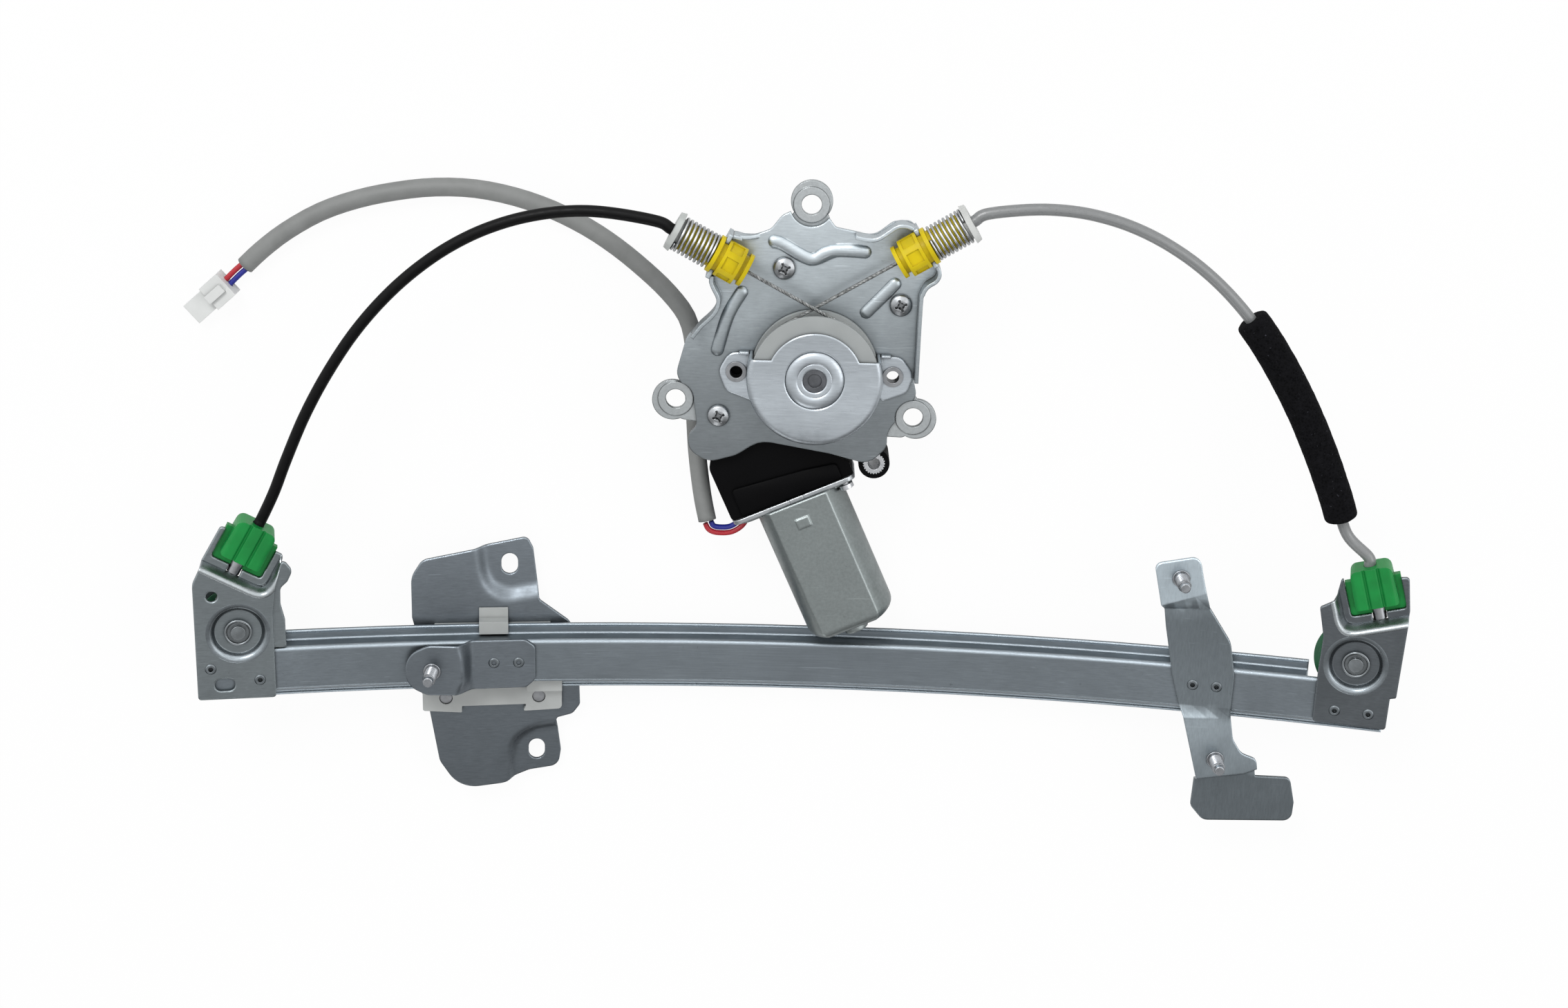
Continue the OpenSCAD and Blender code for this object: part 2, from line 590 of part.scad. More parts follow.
// gear housing: bowl for the wheel, worm tunnel, brush box, screw bosses and their arms
module arm(q, w, z, h) {
    d = q - [drum_x, drum_y];
    translate([drum_x, drum_y, z]) rotate([0, 0, atan2(d[1], d[0])])
        translate([20, -w / 2, 0]) cube([norm(d) - 20, w, h]);
}
bowl_r = wheel_r + 4.5;
box_edge = [[12, -21, 4], [24, box_n0, 6], [50, box_n0, 1.5], [50, box_n1, 1.5],
    [44, box_n1, 2], [38, box_n1 - 6, 6], [12, 21, 8]];
module gear_housing() {
    color([0.09, 0.09, 0.1]) difference() {
        union() {
            at_drum() pin(0, 0, floor_z, bowl_r, bracket_z - floor_z);
            for (q = screws) {
                pin(q[0], q[1], bracket_z - 15, 6.2, 15);
                arm(q, 7, bracket_z - 12, 11.7);
            }
            pin(boss_at[0], boss_at[1], bracket_z - 18, 6.8, 18);
            arm(boss_at, 8, bracket_z - 14, 13.7);
            at_motor() plate(box_edge, -13.6, 24.3);
            at_motor() translate([-19, 0, 0]) rotate([0, 90, 0]) cylinder(r = 10.6, h = 34);
            at_motor() box(-19, -2, -8, 34, 14, 18.7);
        }
        at_drum() pin(0, 0, floor_z + 3, wheel_r + 1.6, 40);
        at_drum() pin(0, 0, bracket_z - 2, wheel_r + 2.1, 10);
        at_drum() pin(0, 0, floor_z + 1.5, shaft_r + 0.08, 40);
        at_motor() translate([-16, 0, 0]) rotate([0, 90, 0]) cylinder(r = worm_r + 1.4, h = 44);
        at_motor() box(28, -can_d / 2, -11, 19, can_d - 2, 20);
        at_motor() translate([40, 0, 0]) rotate([0, 90, 0]) cylinder(r = 12, h = 20);
        for (q = screws)
            pin(q[0], q[1], bracket_z - 14.6, 2.3 + fit, 30);
        pin(boss_at[0], boss_at[1], -60, 4.4, 100);
        for (q = eyelets)
            pin(q[0], q[1], bracket_z - 1.5, 4.5, 9);
        at_motor() for (a = can_screw_at)
            translate([42, a[0], a[1]]) rotate([0, 90, 0]) cylinder(r = 1.9 + fit, h = 20);
        at_motor() translate([44, lead_n, -7]) rotate([0, 90, 0]) cylinder(r = 2.8, h = 20);
        at_motor() box(44.5, lead_n + 1, -9, 4, 10, 4.2);
    }
}
module gear_cover() {
    color([0.2, 0.2, 0.21]) at_drum() difference() {
        union() {
            pin(0, 0, bracket_z - 2, wheel_r + 2, 2);
            pin(0, 0, bracket_z - 2, shaft_r + 3.4, 3.2);
        }
        pin(0, 0, -20, shaft_r + 0.08, 40);
    }
}
module thread_insert() {
    // knurled steel bush in the free boss
    color([0.75, 0.75, 0.76]) translate([boss_at[0], boss_at[1], bracket_z - 18])
        difference() {
            union() {
                cylinder(r = 4.35, h = 18.4);
                for (a = [0:15:345])
                    rotate([0, 0, a]) translate([4, -0.3, 18.05]) cube([0.75, 0.6, 0.35]);
            }
            translate([0, 0, -1]) cylinder(r = 2.7, h = 30);
        }
}
// motor: steel flange plate, flat-sided can, magnets, armature on its bearings, brush gear
module motor_flange() {
    color([0.72, 0.73, 0.74]) at_motor() difference() {
        intersection() {
            box(50, box_n0, -13.6, 2, box_n1 - box_n0, 26.9);
            translate([49, 0, -0.15]) rotate([0, 90, 0]) linear_extrude(4)
                polygon(rounded([[-13.4, box_n0, 4], [13.4, box_n0, 4], [13.4, box_n1, 4],
                    [-13.4, box_n1, 4]]));
        }
        translate([49, 0, 0]) rotate([0, 90, 0]) cylinder(r = 13.4, h = 4);
        for (a = can_screw_at)
            translate([49, a[0], a[1]]) rotate([0, 90, 0]) cylinder(r = 1.9 + fit, h = 4);
        translate([49, lead_n, -7]) rotate([0, 90, 0]) cylinder(r = 2.8, h = 4);
    }
}
module can_form(r, flat, x0, x1, round) {
    // round can cut by two flats, its closed end rounded
    intersection() {
        rotate([0, 90, 0]) rotate_extrude() polygon(rounded([[0, x0, 0], [r, x0, 0],
            [r, x1, round + 1.2], [0, x1, 0]]));
        translate([0, r + 1, 0]) rotate([90, 0, 0]) linear_extrude(2 * r + 2)
            polygon(rounded([[x0 - 1, -flat / 2, 0], [x1, -flat / 2, round],
                [x1, flat / 2, round], [x0 - 1, flat / 2, 0]]));
    }
}
module motor_can() {
    x1 = 52 + can_len;
    color([0.56, 0.57, 0.58]) at_motor() difference() {
        union() {
            can_form(can_d / 2, can_flat, 52, x1, 3.6);
            translate([x1 - 1, 0, 0]) rotate([0, 90, 0]) cylinder(r = 5.4, h = 5.6);
            translate([59, -4, can_flat / 2 - 0.4]) cube([4.5, 6, 0.8]);
            intersection() {
                box(52, box_n0 + 2, -13.6, 1.6, box_n1 - box_n0 - 2, 26.9);
                translate([49, 0, -0.15]) rotate([0, 90, 0]) linear_extrude(6)
                    polygon(rounded([[-10, box_n0 + 1.5, 6], [10, box_n0 + 1.5, 6],
                        [10, box_n1 - 1.5, 6], [-10, box_n1 - 1.5, 6]]));
            }
        }
        can_form(can_d / 2 - 1.6, can_flat - 3.2, 51, x1 - 1.6, 2.2);
        translate([x1 - 2, 0, 0]) rotate([0, 90, 0]) cylinder(r = 4.2, h = 5.4);
        for (a = can_screw_at)
            translate([49, a[0], a[1]]) rotate([0, 90, 0]) cylinder(r = 1.9 + fit, h = 8);
        translate([49, lead_n, -7]) rotate([0, 90, 0]) cylinder(r = 2.8, h = 8);
    }
}
module can_screws() {
    color([0.78, 0.78, 0.8]) at_motor() for (a = can_screw_at)
        translate([53.6, a[0], a[1]]) rotate([0, 90, 0]) difference() {
            union() {
                translate([0, 0, -11]) cylinder(r = 1.9, h = 11.1);
                cylinder(r = 3.2, h = 2);
            }
            for (b = [0, 90])
                rotate([0, 0, b]) translate([-1.8, -0.35, 1]) cube([3.6, 0.7, 2]);
        }
}
// bore of the magnets, and the laminations that turn in it and between the can's flats
magnet_r = can_d / 2 - 6.4;
lam_r = min(magnet_r - 0.8, can_flat / 2 - 2.2);
module magnets() {
    color([0.25, 0.25, 0.26]) at_motor() for (m = [0, 1])
        mirror([0, m, 0]) intersection() {
            translate([62, 0, 0]) rotate([0, 90, 0]) difference() {
                cylinder(r = can_d / 2 - 1.6, h = 44);
                translate([0, 0, -1]) cylinder(r = magnet_r, h = 46);
            }
            box(60, 8, -11.5, 50, 20, 23);
        }
}
module worm_thread() {
    // right-handed thread whose flanks pass the wheel on the centre line in a tooth gap
    a = worm_r + 0.7;
    b = worm_r - 1.4;
    skin([for (i = [-72:72]) let (x = tooth * i / 18, w = 20 * i)
        [[x + 0.62, b * cos(w), b * sin(w)], [x + 0.3, a * cos(w), a * sin(w)],
            [x - 0.3, a * cos(w), a * sin(w)], [x - 0.62, b * cos(w), b * sin(w)]]]);
}
module armature_shaft() {
    x1 = 52 + can_len + 3;
    color([0.7, 0.7, 0.72]) at_motor() {
        translate([-15.5, 0, 0]) rotate([0, 90, 0]) cylinder(r = arm_shaft_r, h = x1 + 15.5);
        translate([-11.8, 0, 0]) rotate([0, 90, 0]) cylinder(r = worm_r - 1.2, h = 24.3);
        worm_thread();
    }
}
module armature_core() {
    // laminated core with eight slots, winding heads at both ends
    color([0.5, 0.3, 0.16]) at_motor() difference() {
        union() {
            translate([68, 0, 0]) rotate([0, 90, 0]) difference() {
                cylinder(r = lam_r, h = 32);
                for (a = [0:45:315])
                    rotate([0, 0, a]) translate([lam_r - 3.8, -0.9, -1]) cube([8, 1.8, 40]);
            }
            translate([63.5, 0, 0]) rotate([0, 90, 0]) cylinder(r = lam_r - 2.4, h = 41);
        }
        translate([50, 0, 0]) rotate([0, 90, 0]) cylinder(r = arm_shaft_r + fit, h = 90);
    }
}
module commutator() {
    color([0.72, 0.45, 0.2]) at_motor() translate([54, 0, 0]) rotate([0, 90, 0])
        difference() {
            union() {
                cylinder(r = 6, h = 9);
                translate([0, 0, 7.4]) cylinder(r = 7.4, h = 1.6);
            }
            translate([0, 0, -1]) cylinder(r = arm_shaft_r + fit, h = 30);
            for (a = [0:45:315])
                rotate([0, 0, a]) translate([5.4, -0.25, -1]) cube([4, 0.5, 12]);
        }
}
module brush_card() {
    color([0.16, 0.17, 0.15]) at_motor() translate([49, 0, 0]) rotate([0, 90, 0])
        difference() {
            union() {
                cylinder(r = 11.6, h = 3);
                for (a = [0, 180])
                    rotate([0, 0, a]) translate([-3.4, 6.7, 2.9]) cube([6.8, 5.2, 8]);
            }
            translate([0, 0, -1]) cylinder(r = 6.4, h = 20);
            for (a = [0, 180])
                rotate([0, 0, a]) translate([-2.2, 6, 4.6]) cube([4.4, 8, 4.4]);
        }
}
module brushes() {
    color([0.12, 0.12, 0.13]) at_motor() for (a = [0, 180])
        translate([54.6, 0, 0]) rotate([a, 0, 0]) difference() {
            translate([-1, 5, -2.2 + fit]) cube([4.4, 6.6, 4.4 - 2 * fit]);
            translate([-3, 0, 0]) rotate([0, 90, 0]) cylinder(r = 6.05, h = 9);
        }
}
module armature_bearings() {
    // sintered bushes: at the worm's far end, before the brush box and in the can's end
    color([0.62, 0.5, 0.3]) at_motor() for (q = [[-15.9, 4, worm_r + 1.4], [22, 5, worm_r + 1.4],
        [50.8 + can_len, 4.6, 4.2]])
        translate([q[0], 0, 0]) rotate([0, 90, 0]) difference() {
            cylinder(r = q[2], h = q[1]);
            translate([0, 0, -1]) cylinder(r = arm_shaft_r + fit, h = 9);
        }
}

// rail: bowed hat section with small lips, cut back at both pulleys
module rail() {
    w = rail_web / 2;
    f = w + rail_flange;
    d = rail_depth;
    t = rail_t;
    a0 = -262 / rail_r * 180 / PI;
    a1 = 264 / rail_r * 180 / PI;
    q = [[-f, -d, 0.8], [-f, -d + 2.4, 0.3], [-f + 1, -d + 2.4, 0.3], [-f + 1, -d + t, 0.4],
        [-w, -d + t, 0.6], [-w, 0, 1.8], [w, 0, 1.8], [w, -d + t, 0.6], [f - 1, -d + t, 0.4],
        [f - 1, -d + 2.4, 0.3], [f, -d + 2.4, 0.3], [f, -d, 0.8], [w - t, -d, 0.8],
        [w - t, -t, 0.6], [-w + t, -t, 0.6], [-w + t, -d, 0.8]];
    color([0.36, 0.38, 0.41]) difference() {
        translate([0, 0, rail_zc]) rotate([90, 0, 0]) rotate([0, 0, a0 - 90])
            rotate_extrude(angle = a1 - a0, $fn = 240)
            polygon([for (p = rounded(q)) [rail_r - p[1], -(rail_y + p[0])]]);
        on_rail(left_s) box(-30, rail_y + 7.6, -20, 50, 30, 18.8);
        on_rail(right_s) box(-20, rail_y + 7.6, -20, 50, 30, 18.8);
        on_rail(left_s) pin(0, pulley_y, -3, 13.2, 9);
        on_rail(right_s) pin(0, pulley_y, -3, 13.2, 9);
        rivet_places() pin(0, 0, -6, 1.6 + fit, 20);
    }
}
module slot_tool() {
    translate([-6.7, -160.2, -3]) linear_extrude(8)
        polygon(rounded([[-4.4, -3, 2.8], [4.4, -3, 2.8], [4.4, 3, 2.8], [-4.4, 3, 2.8]]));
}
module rivet_places() {
    for (q = [[left_s, -12.5, -152.4], [left_s, 8.5, -158.6], [right_s, -7, -158.4],
        [right_s, 7.5, -158.4], [-129, -4.5, -154.6], [-129, 6.5, -154.6], [190, -9.5, -153],
        [190, 1, -153]])
        on_rail(q[0]) translate([q[1], q[2], 0]) children();
}
// end brackets: flat face, pressed ring round the pin, lower shelf with a fork for the guide
left_edge = [[-18.5, -166.8, 1.5], [-18.5, -112.5, 6], [-14, -103.2, 3], [-5.2, -87.9, 1.5],
    [20.8, -102.6, 1.5], [17, -114, 3], [15.2, -128, 4], [15.2, -167.3, 1.5]];
right_edge = [[-16, -164.6, 1.5], [-15.8, -140, 4], [-15, -124.5, 5], [-17.8, -111, 1.2],
    [-11.2, -107, 0.8], [-9.8, -98.8, 1], [18.6, -94.9, 1.5], [20.4, -110, 4],
    [18.6, -149.4, 1], [16, -150, 0.4], [15.5, -164.9, 1.5]];
out_line = [[-16.5, -18.6], [-8, -18.6], [4, -18.6], [12, -18.4], [16, -16.6], [17.7, -12.4],
    [17.8, -6], [17.8, 6]];
in_line = [[-16.5, -16.2], [-8, -16.2], [4, -16.2], [11.2, -15.9], [14, -14.8], [15.2, -11.6],
    [15.4, -6], [15.4, 6]];
module above(p, x) {
    // the guide's side of a step line
    linear_extrude(12, center = true) polygon(concat(p, [[x, 22], [-40, 22], [-40, p[0][1]]]));
}
module end_face(left) {
    linear_extrude(12, center = true) polygon(rounded(left ? left_edge : right_edge));
}
module guide_place(left) {
    if (left)
        translate([guide_x(1, left_tilt, left_run), guide_y(left_tilt, left_run), 0])
            rotate([0, 0, -left_tilt]) children();
    else
        translate([guide_x(-1, right_tilt, right_run), guide_y(right_tilt, right_run), 0])
            rotate([0, 0, right_tilt]) mirror([1, 0, 0]) children();
}
module end_bracket(left) {
    t = bracket_t;
    difference() {
        union() {
            difference() {
                intersection() {
                    end_face(left);
                    box(-50, -200, seat_z, 100, 150, t);
                }
                guide_place(left) above(out_line, 17.8);
            }
            difference() {
                intersection() {
                    end_face(left);
                    guide_place(left) above(in_line, 15.4);
                    box(-50, -200, shelf_z, 100, 150, t);
                }
                guide_place(left) guide_fork(0);
            }
            intersection() {
                end_face(left);
                guide_place(left) ramp([for (p = out_line) [p[0], p[1], t + seat_z - lap]],
                    [for (p = in_line) [p[0], p[1], shelf_z + t + lap]], t);
            }
            intersection() {
                guide_place(left) difference() {
                    translate([0, 0, shelf_z - 2.6]) linear_extrude(2.8)
                        polygon([[-13.4, -13.8], [13.4, -13.8], [13.4, 1], [-13.4, 1]]);
                    guide_fork(0);
                }
                end_face(left);
            }
            // pressed ring down to the pulley
            pin(0, pulley_y, -2.3, 12.4, t + seat_z + 2.3);
        }
        pin(0, pulley_y, -0.7, 10.3, 9);
        translate([0, pulley_y, -0.7]) cylinder(r1 = 10.3, r2 = 12.1, h = 2.6);
        pin(0, pulley_y, -9, pin_r + fit, 20);
    }
}
module guide_fork(g) {
    // U-shaped opening for the guide, with its round-ended slot for the tube
    translate([0, 0, -9]) linear_extrude(10)
        polygon(rounded([[-12 - g, -12.4 - g, 1.5], [12 + g, -12.4 - g, 1.5], [12 + g, 30, 0],
            [-12 - g, 30, 0]]));
    box(-tube_r - 0.2, -15.5, -9, 2 * tube_r + 0.4, 6, 10);
    pin(0, -15.5, -9, tube_r + 0.2, 10);
}
module left_bracket() {
    t = bracket_t;
    color([0.4, 0.42, 0.45]) on_rail(left_s) difference() {
        union() {
            end_bracket(true);
            // joggled flap with an ear, over the pulley's edge
            plate([[13.5, -144.1, 0.5], [20.4, -144.1, 1], [20.4, -131.4, 3], [18.7, -124, 4],
                [18.9, -116.4, 3], [22.1, -113.5, 3], [24.4, -108.6, 3], [21.6, -104.6, 2],
                [19.8, -104.4, 1], [16.4, -114, 3], [13.5, -128, 2]], seat_z - t + 0.4, t);
        }
        pin(-10.5, -118.5, -3, 2.5, 9);
        slot_tool();
        for (q = [[-12.5, -152.4], [8.5, -158.6]])
            pin(q[0], q[1], -3, 1.6 + fit, 9);
    }
}
module right_bracket() {
    color([0.4, 0.42, 0.45]) on_rail(right_s) difference() {
        end_bracket(false);
        for (q = [[-7, -158.4], [7.5, -158.4]])
            pin(q[0], q[1], -3, 1.6 + fit, 9);
    }
}
// back plates behind the pulleys
module left_back_plate() {
    color([0.38, 0.4, 0.42]) on_rail(left_s) difference() {
        plate([[-17, -166.4, 2], [-17, -120, 5], [-10, -114, 5], [10, -114, 4], [15, -122, 4],
            [17.4, -132, 4], [17.4, -147, 3], [14, -152, 3], [14, -166.4, 2]],
            -rail_depth - bracket_t, bracket_t);
        pin(0, pulley_y, -20, pin_r + fit, 20);
    }
}
module right_back_plate() {
    color([0.38, 0.4, 0.42]) on_rail(right_s) difference() {
        plate([[14, -167, 2], [15, -128, 3], [12, -117, 3], [-12, -120, 3], [-14, -140, 3],
            [-14, -167, 2]], -rail_depth - bracket_t, bracket_t);
        pin(0, pulley_y, -20, pin_r + fit, 20);
    }
}
module pulley() {
    z0 = pulley_mid - pulley_w / 2;
    g = pulley_r - rope_d / 2 - 0.3;
    w = rope_d / 2 + 0.3;
    translate([0, pulley_y, 0]) rotate_extrude() polygon([[pin_r + fit, z0], [g - 2, z0],
        [pulley_base, z0 + 0.3], [pulley_base, z0 + 1], [g, pulley_mid - w], [g, pulley_mid + w],
        [pulley_rim, z0 + pulley_w - 1], [pulley_rim, z0 + pulley_w - 0.3],
        [g - 2, z0 + pulley_w], [pin_r + fit, z0 + pulley_w]]);
}
module left_pulley() {
    color([0.1, 0.28, 0.16]) on_rail(left_s) pulley();
}
module right_pulley() {
    color([0.1, 0.28, 0.16]) on_rail(right_s) pulley();
}
module pulley_pins() {
    // shouldered pins: riveted through the back plate, wide head in the pressed ring
    b = -rail_depth - bracket_t;
    color([0.7, 0.7, 0.72]) for (s = [left_s, right_s])
        on_rail(s) translate([0, pulley_y, 0]) difference() {
            union() {
                translate([0, 0, b - 1]) cylinder(r = pin_r, h = 1.4 - b);
                translate([0, 0, b - 1.2]) cylinder(r = pin_r + 2, h = 1.2);
                translate([0, 0, -0.7]) cylinder(r = 6.1, h = 1.7);
                translate([0, 0, 0.9]) cylinder(r = 3.2, h = 0.8);
            }
            translate([0, 0, 0.3]) difference() {
                cylinder(r = 4.9, h = 3);
                cylinder(r = 3.2, h = 3);
            }
        }
}
// green conduit guide: three-lobed block with side tongues in the bracket's fork
module conduit_guide() {
    h = 6.6;
    translate([0, 0, pulley_mid]) difference() {
        union() {
            intersection() {
                translate([0, 0, -h]) linear_extrude(2 * h) polygon(rounded([[-9.6, -9, 1.5],
                    [9.6, -9, 1.5], [8.8, 9, 3.2], [-8.8, 9, 3.2]]));
                translate([0, 20, 0]) rotate([90, 0, 0]) linear_extrude(40)
                    polygon(rounded([[-9.6, -h, 2], [9.6, -h, 2], [9.6, h, 2.4], [4, h, 0.6],
                        [3, h - 1.2, 0.4], [2.2, h, 0.6], [-2.2, h, 0.6], [-3, h - 1.2, 0.4],
                        [-4, h, 0.6], [-9.6, h, 2.4]]));
            }
            for (m = [0, 1]) mirror([m, 0, 0]) box(9, -8.6, -2.2, 3 - fit, 12, 3.6);
            translate([0, 0, -2.2]) linear_extrude(3.6) polygon(rounded([[fit - 12, -12.3, 1.6],
                [12 - fit, -12.3, 1.6], [12 - fit, -8.3, 0], [fit - 12, -8.3, 0]]));
        }
        translate([0, 20, 0]) rotate([90, 0, 0]) cylinder(r = 1.2, h = 40);
        translate([0, 4, 0]) rotate([-90, 0, 0]) cylinder(r = conduit_d / 2 + 0.15, h = 9);
        translate([0, -20, 0]) rotate([-90, 0, 0]) cylinder(r = tube_r + fit, h = 14);
    }
}
module left_conduit_guide() {
    color([0.12, 0.5, 0.22]) at_left_guide() conduit_guide();
}
module right_conduit_guide() {
    color([0.12, 0.5, 0.22]) at_right_guide() conduit_guide();
}
module guide_tube() {
    translate([0, -15.6, pulley_mid]) rotate([-90, 0, 0]) difference() {
        cylinder(r = tube_r, h = 9.6);
        translate([0, 0, -1]) cylinder(r = rope_d / 2 + 0.3, h = 12);
    }
}
module guide_tubes() {
    color([0.6, 0.6, 0.6]) {
        at_left_guide() guide_tube();
        at_right_guide() guide_tube();
    }
}
// left tube, round the left pulley, along inside the rail, round the right pulley, right tube
function round_pulley(s, a, b) = [for (i = [0:12]) let (c = a + (b - a) * i / 12)
    rail_pt(s, [pulley_r * cos(c), pulley_y + pulley_r * sin(c), pulley_mid])];
rail_route = concat([left_end(-8), left_end(-20)], round_pulley(left_s, 180 - left_tilt, 270),
    [for (i = [1:44]) rail_pt(left_s + (right_s - left_s) * i / 45, [0, rope_y, pulley_mid])],
    round_pulley(right_s, -90, right_tilt), [right_end(-20), right_end(-8)]);
module rail_rope() {
    color([0.42, 0.41, 0.38]) skin(rings(rail_route, rope_d / 2, 8));
}
// left stud bracket: base on the web, joggle up to a level lobe at the studs' plane
module stud_bracket() {
    t = bracket_t;
    s = -140;
    yy = [-144.5, -150, -156, -162, -166.6];
    xa = [-148.6, -147, -146.6, -147.2, -149.4];
    color([0.42, 0.44, 0.5]) difference() {
        union() {
            on_rail(s + 11) translate([-11, 0, 0]) plate([[-3, -144, 0.3], [20.8, -143.8, 4],
                [25, -147, 3], [25, -163, 4],
                [21, -166.4, 3], [-3, -167, 0.3]], seat_z, t);
            intersection() {
                translate([0, 0, -t]) linear_extrude(t) polygon(rounded([[-149.4, -167.4, 0.5],
                    [-162, -167.5, 9], [-171.3, -163, 9], [-171.3, -149, 10],
                    [-161, -144, 9], [-148.4, -144, 0.5], [-146.6, -156, 6]]));
                translate([-190, -190, -5]) cube([60, 60, 9]);
            }
            ramp([for (i = [0:4]) [xa[i], yy[i], 0]], [for (i = [0:4])
                rail_pt(s + 11, [-13.8, yy[i], t + seat_z])], t);
        }
        pin(-159.5, -156, -9, stud_d / 2 + fit, 20);
        rivet_places() pin(0, 0, -2, 1.6 + fit, 9);
    }
}
// right cross bracket: level tab, tilted body on the web, level lower tab, lower foot
module cross_bracket() {
    t = bracket_t;
    s = 190;
    color([0.46, 0.48, 0.5]) difference() {
        union() {
            translate([0, 0, -t]) linear_extrude(t) polygon(rounded([[158, -95.6, 3],
                [177.6, -91.8, 4], [180, -102, 8], [181.8, -108.8, 0], [162.3, -115, 0]]));
            ramp([for (i = [0:4]) rail_pt(s, [-24.6 + 5 * i, -118 + 0.35 * i, t + seat_z])],
                [for (i = [0:4]) [162.3 + 4.875 * i, -115 + 1.55 * i, 0]], t);
            on_rail(s) plate([[-24.6, -117.9, 0], [-4.6, -116.5, 0], [5.5, -131.5, 10],
                [8.4, -147, 14], [8, -163, 0], [-14.8, -163, 0], [-18.8, -149, 0],
                [-23.4, -126, 0]], seat_z, t);
            ramp([for (i = [0:4]) [176.2 + 5.3 * i, -168, 0]],
                [for (i = [0:4]) rail_pt(s, [-14.8 + 5.7 * i, -162.9, t + seat_z])], t);
            translate([0, 0, -t]) linear_extrude(t) polygon(rounded([[176.2, -167.9, 0],
                [184.4, -198, 0.6], [205.5, -194.8, 0], [211.4, -192.4, 0.6],
                [210.6, -187.6, 3], [203.6, -185, 6], [199.2, -178, 8], [197.4, -167.9, 0]]));
            ramp([[184.6, -200.4, -6], [195, -199, -6], [205.5, -197.6, -6], [211.6, -195.6, -6]],
                [[184.4, -197.9, 0], [195, -196.3, 0], [205.5, -194.7, 0], [211.4, -192.3, 0]],
                t);
            translate([0, 0, -6 - t]) linear_extrude(t) polygon(rounded([[184.6, -200.3, 0],
                [184, -214, 3], [190, -221, 5], [230.4, -220.2, 4], [230.8, -211, 3],
                [228, -199, 3], [212, -198.6, 0.8], [211.6, -195.5, 0], [205.5, -197.5, 0]]));
        }
        pin(170, -102, -9, stud_d / 2 + fit, 20);
        pin(192, -188, -9, stud_d / 2 + fit, 20);
        rivet_places() pin(0, 0, -4, 1.6 + fit, 11);
    }
}
module studs() {
    // clinched studs with a collar, a plain shank and a dog point
    color([0.82, 0.82, 0.84]) for (q = [[-159.5, -156], [170, -102], [192, -188]])
        translate([q[0], q[1], -bracket_t]) {
            translate([0, 0, -1.2]) cylinder(r = stud_d / 2 + 1.8, h = 1.2);
            cylinder(r = stud_d / 2, h = bracket_t + stud_h - 2.6);
            translate([0, 0, bracket_t]) cylinder(r = stud_d / 2 + 0.9, h = 0.8);
            translate([0, 0, bracket_t + stud_h - 2.6])
                cylinder(r1 = stud_d / 2, r2 = stud_d / 2 - 0.8, h = 0.8);
            translate([0, 0, bracket_t + stud_h - 1.8]) cylinder(r = stud_d / 2 - 0.8, h = 1.8);
        }
}
module bracket_rivets() {
    // tubular rivets that hold the four brackets to the rail web
    color([0.6, 0.61, 0.62]) rivet_places() difference() {
        union() {
            translate([0, 0, -rail_t - 0.6]) cylinder(r = 1.6, h = bracket_t + seat_z + rail_t + 1);
            translate([0, 0, bracket_t + seat_z]) cylinder(r1 = 2.5, r2 = 2, h = 0.5);
            translate([0, 0, -rail_t - 0.6]) cylinder(r = 2.1, h = 0.6);
        }
        translate([0, 0, bracket_t - 0.8]) cylinder(r = 1.1, h = 3);
    }
}

// lift plate with its two lower pads, in the carriage's frame on the rail
lift_edge = [[-60, -137, 0], [-60, -118, 10], [-55, -110, 6], [-8, -100.6, 3], [-5.4, -106, 4],
    [-2.8, -129.6, 2], [10, -139.6, 4], [14.4, -146, 3], [15.4, -181, 3], [12, -185.6, 4],
    [4.4, -187.6, 1.5], [6.6, -205, 3], [5.4, -213, 5], [-8, -215, 8], [-20, -220, 14],
    [-40, -222.4, 14], [-49, -208, 8], [-54, -177, 8], [-57, -150, 0]];
pad_a_out = [[-33.5, -100], [-32.2, -107], [-30.6, -117.5], [-27.6, -124.6], [-22.5, -129],
    [-16, -130.6], [-8, -129.4], [4, -127.6]];
pad_a_in = [[-26, -100], [-25.6, -107], [-24.8, -115.5], [-22.6, -120.4], [-19.2, -123],
    [-15, -123.8], [-8, -122.6], [4, -120.6]];
pad_b_out = [[12, -187.8], [2, -189.6], [-6, -191], [-11.6, -193.6], [-15.6, -197.2],
    [-17.8, -202], [-18.4, -210], [-18.6, -226]];
pad_b_in = [[12, -193], [2, -194.4], [-5, -195.2], [-9, -197.2], [-11.8, -199.8],
    [-13.2, -203.6], [-13.8, -210], [-14, -226]];
module on_carriage() {
    on_rail(carriage_s) translate([24, 0, 0]) children();
}
module lift_form() {
    translate([0, 0, lift_top - 12]) linear_extrude(24) polygon(rounded(lift_edge));
}
module lift_slot(x, y) {
    w = slot_w / 2;
    l = slot_l / 2;
    translate([x, y, lift_top - 12]) linear_extrude(24) polygon(rounded([[-w, -l, w - 0.02],
        [w, -l, w - 0.02], [w, l, w - 0.02], [-w, l, w - 0.02]]));
}
